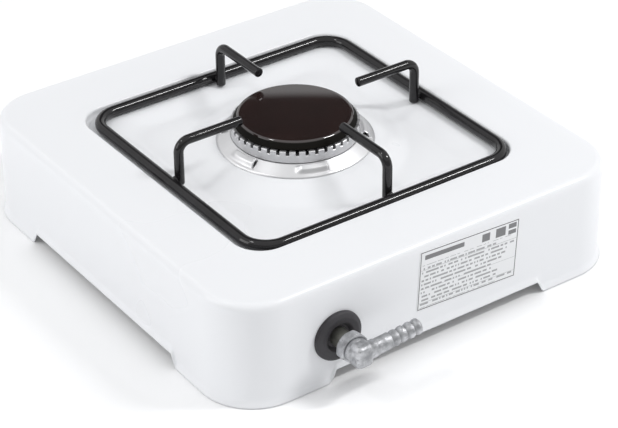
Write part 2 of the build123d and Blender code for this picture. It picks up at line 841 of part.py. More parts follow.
def make_grommet():
    """Rubber ring in the rear wall with a dished outer lip, tight round the pipe."""
    bore = pipe_radius + fit_gap
    neck = grommet_hole_radius - fit_gap
    back = rear_inside - grommet_back
    crown = rear_face + grommet_thickness
    return on_inlet_axis(turned(
        (bore, back), (grommet_back_radius, back), (grommet_back_radius, rear_inside),
        (neck, rear_inside), (neck, rear_face), (grommet_radius, rear_face),
        (grommet_radius, rear_face + grommet_edge), (grommet_crown_radius, crown),
        (grommet_mouth_radius, crown), (bore, crown - grommet_mouth_depth),
    ))


def make_union_nut():
    """Nut on the pipe's threaded end that holds the elbow by its flange."""
    nut = Rot(0, 0, union_turn) * hexagon(union_across_flats, union_start, union_end)
    nut -= rod(pipe_thread_radius + fit_gap, union_start - overrun, union_shoulder)
    return on_inlet_axis(nut - rod(elbow_neck_radius + rest_gap, union_start, union_end + overrun))


def make_sealing_washer():
    """Flat ring between the pipe's end and the elbow."""
    ring = rod(elbow_flange_radius, pipe_end, seal_end)
    return on_inlet_axis(ring - rod(pipe_radius - pipe_wall, pipe_end - overrun, seal_end + overrun))


def hose_tail():
    """Plain stem and ridged end of the hose tail, made on Z from the elbow's middle."""
    ridges_start = hose_tail_length - hose_ridge_count * hose_ridge_pitch
    profile = [(0, 0), (hose_tail_radius, 0), (hose_tail_radius, ridges_start)]
    for index in range(hose_ridge_count):
        low = ridges_start + index * hose_ridge_pitch
        slope_end = low + hose_ridge_pitch - hose_ridge_crest
        profile += [(hose_groove_radius, low), (hose_tail_radius, slope_end)]
        profile += [(hose_tail_radius, low + hose_ridge_pitch)]
    return turned(*profile, (0, hose_tail_length))


def make_hose_elbow():
    """Cast elbow: flanged tail in the nut, rounded block and a ridged hose tail to the side."""
    tail = rod(elbow_flange_radius, elbow_flange_front, elbow_flange_back)
    tail += rod(elbow_neck_radius, elbow_flange_front, elbow_place)
    block = Box(elbow_width, elbow_depth, elbow_height)
    block = fillet(block.edges(), elbow_edge_radius)
    arm = hose_tail() + rod(elbow_collar_radius, 0, elbow_collar_reach)
    middle = Pos(inlet_offset, elbow_place, gas_height)
    along_tail = middle * Rot(0, hose_tail_rise - 90, 0)
    body = on_inlet_axis(tail) + middle * block + along_tail * arm
    body -= on_inlet_axis(rod(hose_bore_radius, elbow_flange_front - overrun, elbow_place))
    return body - along_tail * rod(hose_bore_radius, 0, hose_tail_length + overrun)


prong_places = {
    "prong_right": (0, 0),
    "prong_rear": (90, rear_prong_offset),
    "prong_left": (180, left_prong_offset),
    "prong_front": (270, 0),
}

nodes = {
    "casing": make_casing(),
    "rating_label": make_label(),
    "pan_frame": make_pan_frame(),
    "trim_ring": make_trim_ring(),
    "burner_crown": make_burner_crown(),
    "burner_cap": make_burner_cap(),
    "burner_cup": make_burner_cup(),
    "burner_gasket": make_burner_gasket(),
    "burner_screws": make_burner_screws(),
    "mixing_tube": make_mixing_tube(),
    "air_shutter": make_air_shutter(),
    "injector": make_injector(),
    "injector_washer": make_injector_washer(),
    "valve_body": make_valve_body(),
    "valve_cover": make_valve_cover(),
    "valve_screws": make_valve_screws(),
    "valve_plug": make_valve_plug(),
    "plug_spring": make_plug_spring(),
    "spindle": make_spindle(),
    "knob": make_knob(),
    "knob_clip": make_knob_clip(),
    "gas_pipe": make_gas_pipe(),
    "pipe_nut": make_pipe_nut(),
    "pipe_olive": make_pipe_olive(),
    "grommet": make_grommet(),
    "union_nut": make_union_nut(),
    "sealing_washer": make_sealing_washer(),
    "hose_elbow": make_hose_elbow(),
}
for prong, place in prong_places.items():
    nodes[prong] = make_prong(*place)

os.makedirs("parts", exist_ok=True)
for name, shape in nodes.items():
    export_step(shape, f"parts/{name}.step")
print(len(nodes), "nodes written")
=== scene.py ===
# %% [markdown]
# # A table-top gas stove with one burner
# The stove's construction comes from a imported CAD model: separate pieces, at their real size, on bodies that
# move. This lesson gives it its looks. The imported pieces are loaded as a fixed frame, and each new surface is
# worked out as whole numpy arrays, put into a mesh, and hung on the body that it moves with. Lengths are in
# millimetres, as on a maker's drawing, until one factor turns them into Blender's metres.

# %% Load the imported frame
import json
import math

import bmesh
import bpy
import numpy as np
from mathutils import Matrix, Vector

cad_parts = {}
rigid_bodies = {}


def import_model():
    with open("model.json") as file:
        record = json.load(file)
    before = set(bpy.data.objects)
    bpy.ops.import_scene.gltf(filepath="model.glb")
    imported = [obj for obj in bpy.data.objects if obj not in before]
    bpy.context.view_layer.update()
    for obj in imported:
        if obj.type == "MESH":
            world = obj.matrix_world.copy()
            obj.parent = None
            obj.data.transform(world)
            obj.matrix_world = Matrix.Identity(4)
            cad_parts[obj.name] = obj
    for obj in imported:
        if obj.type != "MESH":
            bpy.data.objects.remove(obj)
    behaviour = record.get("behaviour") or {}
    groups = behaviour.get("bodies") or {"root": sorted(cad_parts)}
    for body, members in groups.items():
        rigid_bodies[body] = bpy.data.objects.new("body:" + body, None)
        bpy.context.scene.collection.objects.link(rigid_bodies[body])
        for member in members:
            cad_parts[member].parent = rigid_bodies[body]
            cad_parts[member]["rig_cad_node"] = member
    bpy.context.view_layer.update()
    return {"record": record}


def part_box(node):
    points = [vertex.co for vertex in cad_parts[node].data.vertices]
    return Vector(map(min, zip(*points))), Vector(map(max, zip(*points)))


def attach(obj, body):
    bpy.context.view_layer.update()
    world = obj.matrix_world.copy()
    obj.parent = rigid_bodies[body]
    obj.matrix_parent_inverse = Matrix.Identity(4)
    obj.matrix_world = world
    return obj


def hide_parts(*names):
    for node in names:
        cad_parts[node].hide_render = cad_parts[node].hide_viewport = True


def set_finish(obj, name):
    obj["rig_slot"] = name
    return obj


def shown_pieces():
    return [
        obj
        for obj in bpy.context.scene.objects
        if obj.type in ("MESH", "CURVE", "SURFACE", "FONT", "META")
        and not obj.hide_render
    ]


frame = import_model()
METRE = 0.001


def extent(node):
    """Lowest and highest corner of a CAD node, in millimetres."""
    low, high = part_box(node)
    return np.array(low) / METRE, np.array(high) / METRE


# %% [markdown]
# ## The camera
# The picture is taken with a long lens from above the stove's rear corner. A camera can be dragged about by
# eye, but here its angles, its distance and its focal length were fitted to straight edges of the casing and
# to the pan frame, so the render lies close over the photograph. The three axes of the camera are its right,
# its up and the direction back from the stove, and they are the columns of its matrix.

# %% Camera
IMAGE_WIDTH = 618
SENSOR_WIDTH = 36.0
focal_pixels = 2245.23
camera_distance = 1403.68
origin_right_pixels = -12.41
origin_down_pixels = 13.29
azimuth, elevation, roll = np.radians([144.969, 32.458, -0.567])

back = np.array([
    math.sin(azimuth) * math.cos(elevation),
    -math.cos(azimuth) * math.cos(elevation),
    math.sin(elevation),
])
level = np.array([math.cos(azimuth), math.sin(azimuth), 0.0])
upright = np.cross(back, level)
right = math.cos(roll) * level + math.sin(roll) * upright
up = math.cos(roll) * upright - math.sin(roll) * level
pixel_size = camera_distance / focal_pixels
camera_place = back * camera_distance + (up * origin_down_pixels - right * origin_right_pixels) * pixel_size

camera_data = bpy.data.cameras.new("camera")
camera_data.sensor_fit = "HORIZONTAL"
camera_data.sensor_width = SENSOR_WIDTH
camera_data.lens = focal_pixels * SENSOR_WIDTH / IMAGE_WIDTH
camera = bpy.data.objects.new("camera", camera_data)
bpy.context.scene.collection.objects.link(camera)
camera.matrix_world = Matrix([
    [right[i], up[i], back[i], camera_place[i] * METRE] for i in range(3)
] + [[0, 0, 0, 1]])
bpy.context.scene.camera = camera
bpy.context.scene.view_settings.view_transform = "Standard"
print("camera at", np.round(camera_place, 1), "mm, lens", round(camera_data.lens, 1), "mm")

# %% [markdown]
# ## Building blocks for shapes
# Almost every piece of the stove is pressed, turned or bent, so a few helpers make them all. A surface is a
# grid of points: rows go along it and columns go round it. Rounded outlines are straight runs with a tangent
# arc at each corner, which is how a drawing gives them.

# %% Shape helpers
def rounded_line(corners, radii, steps=6):
    """Polyline with each inner corner replaced by a tangent arc.

    The arc starts its radius over the tangent of half the corner's angle away from the corner, and its points
    are the centre plus the first spoke turned evenly into the last one."""
    corners = np.asarray(corners, float)
    runs = [corners[:1]]
    share = np.linspace(0, 1, steps + 1)[:, None]
    for before, corner, after, radius in zip(corners[:-2], corners[1:-1], corners[2:], radii):
        if radius == 0:
            runs.append(corner[None])
            continue
        towards = (before - corner) / np.linalg.norm(before - corner)
        away = (after - corner) / np.linalg.norm(after - corner)
        half = math.acos(np.clip(towards @ away, -1, 1)) / 2
        middle = (towards + away) / np.linalg.norm(towards + away)
        centre = corner + middle * radius / math.sin(half)
        first = corner + towards * radius / math.tan(half) - centre
        last = corner + away * radius / math.tan(half) - centre
        swing = math.pi - 2 * half
        arc = np.sin((1 - share) * swing) * first + np.sin(share * swing) * last
        runs.append(centre + arc / math.sin(swing))
    runs.append(corners[-1:])
    return np.concatenate(runs)


def turned(profile, columns=96):
    """Grid of a profile of radius and height turned about Z: (r cos a, r sin a, z) for a full circle of a."""
    angle = np.linspace(0, 2 * math.pi, columns + 1)
    radius, height = np.asarray(profile, float).T[:, :, None]
    return np.stack([radius * np.cos(angle), radius * np.sin(angle), height + 0 * angle], axis=-1)


def tube(path, radius, normal, columns=24, start_cap=(), end_cap=()):
    """Grid of a round bar along a path in a plane with this normal.

    Each row is a circle square to the path. A cap is a list of rows past an end, each a distance along the
    path and a radius."""
    path = np.asarray(path, float)
    normal = np.asarray(normal, float)
    ahead = np.gradient(path, axis=0)
    ahead /= np.linalg.norm(ahead, axis=1)[:, None]
    centres = [path[0] - ahead[0] * reach for reach, _ in start_cap] + list(path)
    centres += [path[-1] + ahead[-1] * reach for reach, _ in end_cap]
    headings = [ahead[0]] * len(start_cap) + list(ahead) + [ahead[-1]] * len(end_cap)
    radii = [r for _, r in start_cap] + [radius] * len(path) + [r for _, r in end_cap]
    across = np.cross(headings, normal)[:, None]
    angle = np.linspace(0, -2 * math.pi, columns + 1)[None, :, None]
    ring = np.cos(angle) * across + np.sin(angle) * normal
    return np.array(centres)[:, None] + np.array(radii)[:, None, None] * ring


def laid_along_y(grid, place):
    """Grid made about Z, laid with its Z along +Y at a place."""
    return np.stack([grid[..., 0], grid[..., 2], -grid[..., 1]], axis=-1) + np.asarray(place, float)


# %% [markdown]
# A mesh helper joins the grids of one piece. Points that meet at a seam or a pole are merged, so each piece
# is one clean skin, and edges sharper than a crease angle stay crisp while the rest is shaded smooth. The
# piece's object stays at the origin, with its place in its mesh, like the CAD nodes.

# %% Mesh helper
def make_piece(name, grids, body, slot, stands_for=(), crease=35, closed=True, wall=0.0):
    """Object from grids of points, each with an optional mask of the quads to keep.

    Corner numbers of the quads come from an array of point numbers shifted by one row and one column. The UV
    map runs from 0 to 1 along the columns and the rows of each grid."""
    points, quads, uvs = [], [], []
    count = 0
    for entry in grids:
        grid, keep = entry if isinstance(entry, tuple) else (entry, None)
        rows, columns = grid.shape[:2]
        number = count + np.arange(rows * columns).reshape(rows, columns)
        quad = np.stack([number[:-1, :-1], number[1:, :-1], number[1:, 1:], number[:-1, 1:]], axis=-1)
        quads.append(quad.reshape(-1, 4) if keep is None else quad[keep])
        points.append(grid.reshape(-1, 3))
        v, u = np.meshgrid(np.linspace(0, 1, rows), np.linspace(0, 1, columns), indexing="ij")
        uvs.append(np.stack([u, v], axis=-1).reshape(-1, 2))
        count += rows * columns
    mesh = bpy.data.meshes.new(name)
    mesh.from_pydata((np.concatenate(points) * METRE).tolist(), [], np.concatenate(quads).tolist())
    corner = np.empty(len(mesh.loops), np.int32)
    mesh.loops.foreach_get("vertex_index", corner)
    layer = mesh.uv_layers.new(name="UVMap")
    layer.data.foreach_set("uv", np.concatenate(uvs)[corner].astype(np.float32).ravel())
    work = bmesh.new()
    work.from_mesh(mesh)
    bmesh.ops.remove_doubles(work, verts=work.verts, dist=2e-6)
    if closed:
        bmesh.ops.recalc_face_normals(work, faces=work.faces)
    work.to_mesh(mesh)
    work.free()
    mesh.shade_smooth()
    mesh.set_sharp_from_angle(angle=math.radians(crease))
    piece = bpy.data.objects.new(name, mesh)
    bpy.context.scene.collection.objects.link(piece)
    if wall:
        solid = piece.modifiers.new("wall", "SOLIDIFY")
        solid.thickness = wall * METRE
        solid.offset = -1
        solid.use_even_offset = True
    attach(piece, body)
    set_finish(piece, slot)
    if stands_for:
        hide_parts(*stands_for)
    print(name, len(mesh.polygons), "faces")
    return piece


# %% [markdown]
# ## The pressed casing
# The real casing is one sheet of steel, drawn in a press and enamelled. It could be carved from a box with
# booleans, but a press makes soft, continuous radii, so it is one polar grid instead: every row is a rounded
# rectangle or a circle round the burner, and its height comes from the section of the press tool. Rays close
# together at the corners and at the ends of the notches keep the small radii smooth. Each span of rays in a
# quarter is a first angle, a last angle and a step, in degrees.

# %% Directions of the rays
ray_spans = (
    (0, 26.5, 2.0), (26.5, 31, 0.3), (31, 36, 1.0), (36, 54, 0.33),
    (54, 59, 1.0), (59, 64, 0.3), (64, 90, 2.0),
)
quarter = np.concatenate([np.arange(*span) for span in ray_spans])
ray = np.radians(np.concatenate([quarter + turn for turn in (0, 90, 180, 270)] + [[360.0]]))


def contour(half_x, half_y, corner):
    """Distance along each ray to a rounded rectangle.

    A straight side is its half width over the ray's cosine or sine, and a corner is the far root of the
    quadratic of its circle."""
    cosine, sine = np.abs(np.cos(ray)), np.abs(np.sin(ray))
    centre_x, centre_y = half_x - corner, half_y - corner
    straight = np.minimum(half_x / np.maximum(cosine, 1e-9), half_y / np.maximum(sine, 1e-9))
    along = cosine * centre_x + sine * centre_y
    root = np.maximum(along ** 2 - centre_x ** 2 - centre_y ** 2 + corner ** 2, 0)
    in_corner = (straight * cosine > centre_x) & (straight * sine > centre_y)
    return np.where(in_corner, along + np.sqrt(root), straight)


def soft_step(share):
    """Smooth climb from 0 to 1: three times the square less twice the cube."""
    share = np.clip(share, 0, 1)
    return share * share * (3 - 2 * share)


print(len(ray), "rays")

# %% Rows of the press tool
rows = []


def add_rows(half_x, half_y, corner, height):
    """Rows of the casing: contours of these half sizes and corner radii, each at a height for every ray."""
    values = np.broadcast_arrays(half_x, half_y, corner, height)
    for size_x, size_y, radius, level_here in zip(*values):
        distance = contour(size_x, size_y, radius)
        rows.append(np.stack([
            distance * np.cos(ray), distance * np.sin(ray), np.full(len(ray), level_here)
        ], axis=-1))


# %% Hill under the burner and floor of the well
frame_low, frame_high = extent("pan_frame")
ledge_clearance = 0.3
ledge_height = frame_low[2] - ledge_clearance
recess_corner = 18.5
well_floor = 57.5
hill_top = 65.0
hole_radius = 36.3
burner_screw_ring = 40.8
screw_margin = 3.2
flat_end = 46.0
hill_inner = 47.5
hill_outer = 71.5
slope_start = 72.0
slope_end = 88.0
floor_corner = 20.0
flat_radii = np.array([
    hole_radius, burner_screw_ring - screw_margin, burner_screw_ring, burner_screw_ring + screw_margin,
    flat_end,
])
add_rows(flat_radii, flat_radii, flat_radii, hill_top)
hill_radii = np.linspace(hill_inner, hill_outer, 14)
hill_share = soft_step((hill_outer - hill_radii) / (hill_outer - hill_inner))
add_rows(hill_radii, hill_radii, hill_radii, well_floor + (hill_top - well_floor) * hill_share)
to_square = np.linspace(0.25, 1, 4)
floor_half = hill_outer + (slope_start - hill_outer) * to_square
add_rows(floor_half, floor_half, hill_outer + (floor_corner - hill_outer) * to_square, well_floor)
slope_share = np.linspace(0, 1, 11)[1:]
slope_half = slope_start + (slope_end - slope_start) * slope_share
slope_corner = floor_corner + (recess_corner - floor_corner) * slope_share
slope_height = well_floor + (ledge_height - well_floor) * soft_step(slope_share)
add_rows(slope_half, slope_half, slope_corner, slope_height)
print(len(rows), "rows up to the ledge")

# %% Recess, rim and top edge
flare = 1.8
casing_corner = 33.0
top_edge = 5.0
recess_clearance = 1.9
recess_foot = 2.2
recess_lip = 1.8
_, casing_high = extent("casing")
half_width = casing_high[0] - flare
half_depth = casing_high[1] - flare
casing_top = casing_high[2]
recess_half = (frame_high[0] - frame_low[0]) / 2 + recess_clearance
quarter_turn = np.linspace(0, math.pi / 2, 7)
foot_half = recess_half - recess_foot * (1 - np.sin(quarter_turn))
foot_corner = recess_corner - recess_foot * (1 - np.sin(quarter_turn))
add_rows(foot_half, foot_half, foot_corner, ledge_height + recess_foot * (1 - np.cos(quarter_turn)))
lip_half = recess_half + recess_lip * (1 - np.cos(quarter_turn))
lip_corner = recess_corner + recess_lip * (1 - np.cos(quarter_turn))
add_rows(lip_half, lip_half, lip_corner, casing_top - recess_lip * (1 - np.sin(quarter_turn)))
rim_share = np.linspace(0, 1, 5)[1:-1]
rim_end_x = half_width - top_edge
rim_end_y = half_depth - top_edge
rim_end_corner = casing_corner - top_edge
add_rows(lip_half[-1] + (rim_end_x - lip_half[-1]) * rim_share,
         lip_half[-1] + (rim_end_y - lip_half[-1]) * rim_share,
         lip_corner[-1] + (rim_end_corner - lip_corner[-1]) * rim_share, casing_top)
edge_turn = np.linspace(0, math.pi / 2, 9)
edge_in = top_edge * (1 - np.sin(edge_turn))
edge_down = top_edge * (1 - np.cos(edge_turn))
add_rows(half_width - edge_in, half_depth - edge_in, casing_corner - edge_in, casing_top - edge_down)
print(len(rows), "rows down to the walls")

# %% [markdown]
# Below its top edge the casing is a plain wall that ends in a flared lip. Four shallow notches lift the lip
# between the feet, so the lip's height depends on where a ray meets the wall. The rows of the lip keep their
# distance from that wavy edge, as the real pressed lip does. The sheet's inner edge hangs a little lower than
# the outer one that is drawn here, so the feet start that much above the table.

# %% Walls, feet and notches
flare_height = 5.0
foot_length = 67.0
notch_run = 5.0
notch_height = 8.6
notch_bend_share = 0.6
lip_hang = 0.45
flare_power = 1.6
gas_height = 31.0
wall_heights = np.array([58, 50, 46, 42, 38, 34, gas_height, 28, 24, 20, 16.5])
add_rows(half_width, half_depth, casing_corner, wall_heights)
first_wall_row = len(rows) - len(wall_heights)
gas_row = first_wall_row + np.argmin(np.abs(wall_heights - gas_height))
wall = rows[-1]
into_notch = np.maximum(half_width - np.abs(wall[:, 0]), half_depth - np.abs(wall[:, 1])) - foot_length
climb = np.clip(1 + into_notch / notch_run, 0, 1)
climb = (1 - notch_bend_share) * climb + notch_bend_share * soft_step(climb)
edge_height = lip_hang + (notch_height - lip_hang) * climb
for share in np.linspace(1, 0, 7):
    out = flare * (1 - share) ** flare_power
    distance = contour(half_width + out, half_depth + out, casing_corner + out)
    rows.append(np.stack([
        distance * np.cos(ray), distance * np.sin(ray), edge_height + flare_height * share
    ], axis=-1))
casing_grid = np.array(rows)
casing_keep = np.ones((len(rows) - 1, len(ray) - 1), bool)
print("casing grid", casing_grid.shape)

# %% [markdown]
# The sheet has holes for the hose grommet, the spindle and the screws. Instead of cutting them afterwards, a
# patch of the grid is left out and filled with a ring of faces that runs from the patch's outline to the
# hole's circle, which keeps the mesh clean.

# %% Holes in the sheet
def pierce(row_low, row_high, column_low, column_high, centre, radius):
    """Leaves a patch out of the casing's grid and gives the ring between its outline and a round hole.

    Each outline point is moved towards the centre until it is one radius away, and rows between them are
    evenly shared."""
    casing_keep[row_low:row_high, column_low:column_high] = False
    outline = np.concatenate([
        casing_grid[row_low, column_low:column_high], casing_grid[row_low:row_high, column_high],
        casing_grid[row_high, column_high:column_low:-1], casing_grid[row_high:row_low:-1, column_low],
        casing_grid[row_low, column_low][None],
    ])
    spoke = outline - centre
    circle = centre + spoke * radius / np.linalg.norm(spoke, axis=1)[:, None]
    share = np.array([0, 0.5, 1])[:, None, None]
    return outline * (1 - share) + circle * share


def columns_about(row, axis, low, high, side):
    """The two rays of a row that lie just outside a span of X or Y, on one side of the part."""
    along = casing_grid[row, :, axis]
    on_side = casing_grid[row, :, 1 - axis] * side > 0
    inside = np.flatnonzero(on_side & (along > low) & (along < high))
    return inside[0] - 1, inside[-1] + 1


def wall_hole(across, radius, side, reach):
    """Ring round a hole in the front or rear wall, in a patch that reaches some rows past the gas line."""
    margin = radius * hole_margin_share
    columns = columns_about(first_wall_row, 0, across - margin, across + margin, side)
    centre = np.array([across, side * half_depth, gas_height])
    return pierce(gas_row - reach, gas_row + reach, *columns, centre, radius)


inlet_low, inlet_high = extent("grommet")
inlet_x = (inlet_low[0] + inlet_high[0]) / 2
sheet = 0.8
hole_margin_share = 1.25
grommet_hole = 11.5
spindle_hole = 6.0
valve_screw_hole = 2.3
valve_screw_x = 15.0
burner_screw_hole = 2.0
screw_patch = math.radians(5)
hole_rings = [
    wall_hole(inlet_x, grommet_hole, 1, 4), wall_hole(0.0, spindle_hole, -1, 2),
    wall_hole(valve_screw_x, valve_screw_hole, -1, 1), wall_hole(-valve_screw_x, valve_screw_hole, -1, 1),
]
for turn in np.radians([30, 150, 270]):
    nearest = ray[np.argmin(np.abs(ray - turn))]
    patch = np.flatnonzero(np.abs(ray - nearest) < screw_patch)
    centre = np.array([burner_screw_ring * math.cos(turn), burner_screw_ring * math.sin(turn), hill_top])
    hole_rings.append(pierce(1, 3, patch[0], patch[-1], centre, burner_screw_hole))
make_piece("pressed_casing", [(casing_grid, casing_keep)] + hole_rings,
           "stove_body", "white_enamel", ["casing"], crease=50, closed=False, wall=sheet)

# %% [markdown]
# ## The pan support
# The frame is one thick wire bent round a square, and each prong is a thinner wire that stands on the inside
# of the frame and bends over to the burner. Bent wire is a circle carried along a path of straight runs and
# arcs. The cut ends of the prongs keep a small broken edge, where enamel is thin and light catches it, and a
# drop of weld fills the corner between each prong and the frame. The support lies loose in its well, so its
# place, and each prong's, is read from the CAD boxes. An extra row close to each end of a prong keeps the
# shading of its long straight run from leaning towards the broken edge.

# %% Wire frame
wire_radius = (frame_high[2] - frame_low[2]) / 2
frame_half = (frame_high[0] - frame_low[0]) / 2 - wire_radius
frame_middle = (frame_low + frame_high) / 2
frame_bend = 17.0
square = np.array([[1, 0, 0], [1, 1, 0], [-1, 1, 0], [-1, -1, 0], [1, -1, 0], [1, 0, 0]]) * frame_half
frame_path = rounded_line(square + frame_middle, [frame_bend] * 4, steps=14)
make_piece("wire_frame", [tube(frame_path, wire_radius, (0, 0, 1), 28)], "pan_support", "black_enamel",
           ["pan_frame"])

# %% Prongs and their welds
prong_radius = 3.0
prong_bend = 7.0
tip_edge = 0.45
foot_round = 1.4
weld_rise = 0.6
weld_width = 2.4
weld_depth = 1.7
near_end = 0.02
foot_rows = [(foot_round, 0)] + [
    (foot_round * c, prong_radius - foot_round * (1 - s)) for c, s in [(1.0, 0.0), (0.87, 0.5), (0.5, 0.87)]]
tip_rows = [
    (tip_edge * 0.6, prong_radius - tip_edge * 0.25), (tip_edge, prong_radius - tip_edge), (tip_edge, 0),
]
tilt = np.linspace(math.pi / 2, -math.pi / 2, 13)
ball = turned(np.column_stack([np.cos(tilt), np.sin(tilt)]), 20)
prongs = [("prong_right", 0, 1), ("prong_rear", 1, 1), ("prong_left", 0, -1), ("prong_front", 1, -1)]
for name, axis, side in prongs:
    low, high = extent(name)
    tip, outer = (low[axis], high[axis])[::side]
    corners = np.tile((low + high) / 2, (3, 1))
    corners[:, axis] = outer - side * prong_radius
    corners[2, axis] = tip + side * tip_edge
    corners[:, 2] = high[2] - prong_radius
    corners[0, 2] = low[2] + foot_round
    bend_axis = np.eye(3)[1 - axis]
    path = rounded_line(corners, [prong_bend], steps=14)
    near_ends = path[[0, -1]] + near_end * (path[[1, -2]] - path[[0, -1]])
    path = np.insert(path, [1, len(path) - 1], near_ends, axis=0)
    bar = tube(path, prong_radius, bend_axis, 24, foot_rows, tip_rows)
    make_piece("bent_" + name, [bar], "pan_support", "black_enamel", [name])
    weld_half = np.full(3, weld_width)
    weld_half[axis] = weld_depth
    weld_place = corners[0].copy()
    weld_place[axis] = outer
    weld_place[2] = frame_middle[2] + weld_rise
    make_piece("weld_" + name, [ball * weld_half + weld_place], "pan_support", "black_enamel")

# %% [markdown]
# ## The burner cap
# The cap is a pressed and enamelled disc. Its top is a very flat dome, which bends the room's reflection
# into the broad pale band that shows on its far side, and a tight roll at the rim leads into a bevelled
# skirt. It is a turned piece, so one profile of arcs and straight runs gives all of it.

# %% Burner cap
cap_low, cap_high = extent("burner_cap")
cap_radius = cap_high[0]
cap_top = cap_high[2]
cap_bevel = 3.6
cap_skirt = 4.9
cap_dome = 0.5
cap_roll = 2.3
brow_margin = 2.0
ring_outer = 32.7
ring_inner = 30.2
cap_hollow = 2.2
skirt_foot = cap_top - cap_dome - cap_skirt
cap_ceiling = skirt_foot + cap_hollow
brow = cap_radius - cap_bevel
dome_radius = (brow ** 2 + cap_dome ** 2) / (2 * cap_dome)
dome_r = np.linspace(0, brow - brow_margin, 14)
dome_z = cap_top - dome_radius + np.sqrt(dome_radius ** 2 - dome_r ** 2)
skirt_profile = rounded_line([
    (dome_r[-1], dome_z[-1]), (brow, cap_top - cap_dome), (cap_radius, skirt_foot), (ring_outer, skirt_foot),
    (ring_outer, cap_low[2]), (ring_inner, cap_low[2]), (ring_inner, cap_ceiling), (0, cap_ceiling),
], [cap_roll, 0.7, 0.3, 0.4, 0.4, 0.8], steps=6)
cap_profile = np.concatenate([np.column_stack([dome_r, dome_z]), skirt_profile])
make_piece("enamel_cap", [turned(cap_profile, 144)], "cap", "cap_enamel", ["burner_cap"])

# %% [markdown]
# ## The burner crown
# The crown is a cast and turned aluminium ring with flame slots all round under the cap's edge. They are part
# of the turned grid: the height of its rim is a square wave round the circle. Each slot's side is a pair of
# columns at the same angle and different heights, so the slot has true upright walls.

# %% Burner crown
crown_low, crown_high = extent("burner_crown")
crown_radius = crown_high[0]
crown_top = crown_high[2]
crown_height = 7.5
crown_wall = 6.5
crown_floor = 2.5
crown_chamfer = 0.4
crown_foot = 0.2
slot_count = 42
slot_start = math.radians(5.5)
slot_width = 2.2
slot_depth = 2.6
slot_clear = 0.6
spigot = 33.2
throat = 31.0
slot_half = slot_width / 2 / crown_radius
pitch = 2 * math.pi / slot_count
land_share = np.array([0.25, 0.5, 0.75])
land = slot_half + (pitch - 2 * slot_half) * land_share
one_slot = np.concatenate([[-slot_half, -slot_half, 0, slot_half, slot_half], land])
depth_here = np.array([0, 1, 1, 1, 0, 0, 0, 0]) * slot_depth
crown_angle = slot_start + (np.arange(slot_count)[:, None] * pitch + one_slot).ravel()
crown_angle = np.append(crown_angle, crown_angle[0] + 2 * math.pi)
cut = np.append(np.tile(depth_here, slot_count), 0)
print(slot_count, "flame slots")

# %% Crown's turned rows
crown_bottom = crown_top - crown_height
crown_bore = crown_radius - crown_wall
crown_rows = [
    (throat, crown_low[2], 0), (spigot, crown_low[2], 0), (spigot, crown_bottom, 0),
    (crown_radius - crown_foot, crown_bottom, 0), (crown_radius, crown_bottom + crown_foot, 0),
    (crown_radius, crown_top - slot_depth - slot_clear, 0), (crown_radius, crown_top - crown_chamfer, 1),
    (crown_radius - crown_chamfer, crown_top, 1), (crown_bore + crown_chamfer, crown_top, 1),
    (crown_bore, crown_top - crown_chamfer, 1), (crown_bore, crown_bottom + crown_floor, 0),
    (throat, crown_bottom + crown_floor, 0), (throat, crown_low[2], 0),
]
crown_r, crown_z, takes_cut = np.array(crown_rows).T[:, :, None]
crown_grid = np.stack([
    crown_r * np.cos(crown_angle), crown_r * np.sin(crown_angle), crown_z - takes_cut * cut
], axis=-1)
make_piece("slotted_crown", [crown_grid], "crown", "cast_aluminium", ["burner_crown"], crease=30)

# %% [markdown]
# ## The trim ring
# A bright cone of thin sheet covers the joint between the burner and the casing. Six louvres are lanced and
# lifted out of it, each open at one end, and one of them opens the other way. The cone is a polar grid whose
# height has a smooth bump over each louvre; at the open end two columns share an angle, and the faces between
# them are left out.

# %% Louvres round the trim ring
louvre_count = 6
louvre_arc = math.radians(27)
louvre_start = math.radians(-6)
louvre_ramp = math.radians(7)
louvre_rise = 2.1
turned_louvre = 2
louvre_pitch = 2 * math.pi / louvre_count
in_louvre = np.linspace(0, louvre_arc, 22)
after = np.linspace(louvre_arc, louvre_pitch, 22)[:-1]
lift_turn = np.concatenate([soft_step(in_louvre / louvre_ramp), np.zeros(len(after))])
one_louvre = louvre_start + np.concatenate([in_louvre, after])
trim_angle = (np.arange(louvre_count)[:, None] * louvre_pitch + one_louvre).ravel()
trim_angle = np.append(trim_angle, trim_angle[0] + 2 * math.pi)
lift_turn = np.tile(lift_turn, (louvre_count, 1))
lift_turn[turned_louvre] = np.concatenate([0 * in_louvre, soft_step((2 * louvre_arc - after) / louvre_ramp)])
lift_turn = np.append(lift_turn, 0)
print(louvre_count, "louvres on", len(trim_angle), "columns")

# %% Trim ring
trim_low, trim_high = extent("trim_ring")
trim_radius = trim_high[0]
trim_lip = 2.0
trim_sheet = 0.6
edge_height_share = 0.5
lip_height_share = 2.0
shelf_radius = 40.0
shelf_rise = 5.2
trim_bore = 36.3
bend_steps = 5
louvre_margin = 0.05
louvre_shoulder = 0.3
shelf_z = trim_low[2] + shelf_rise
cone_profile = rounded_line([
    (trim_radius, trim_low[2] + trim_sheet * edge_height_share),
    (trim_radius - trim_lip, trim_low[2] + trim_sheet * lip_height_share),
    (shelf_radius, shelf_z), (trim_bore, shelf_z),
], [1.0, 0.9], steps=bend_steps)
cone_run = np.linspace(0, 1, 19)[1:-1]
lip_part, shelf_part = np.split(cone_profile, [bend_steps + 2])
cone_middle = lip_part[-1] + (shelf_part[0] - lip_part[-1]) * cone_run[:, None]
trim_profile = np.concatenate([lip_part, cone_middle, shelf_part])
swell_low = soft_step((cone_run - louvre_margin) / louvre_shoulder)
swell_high = soft_step((1 - louvre_margin - cone_run) / louvre_shoulder)
lift_along = np.concatenate([np.zeros(len(lip_part)), swell_low * swell_high, np.zeros(len(shelf_part))])
trim_r, trim_z = trim_profile.T[:, :, None]
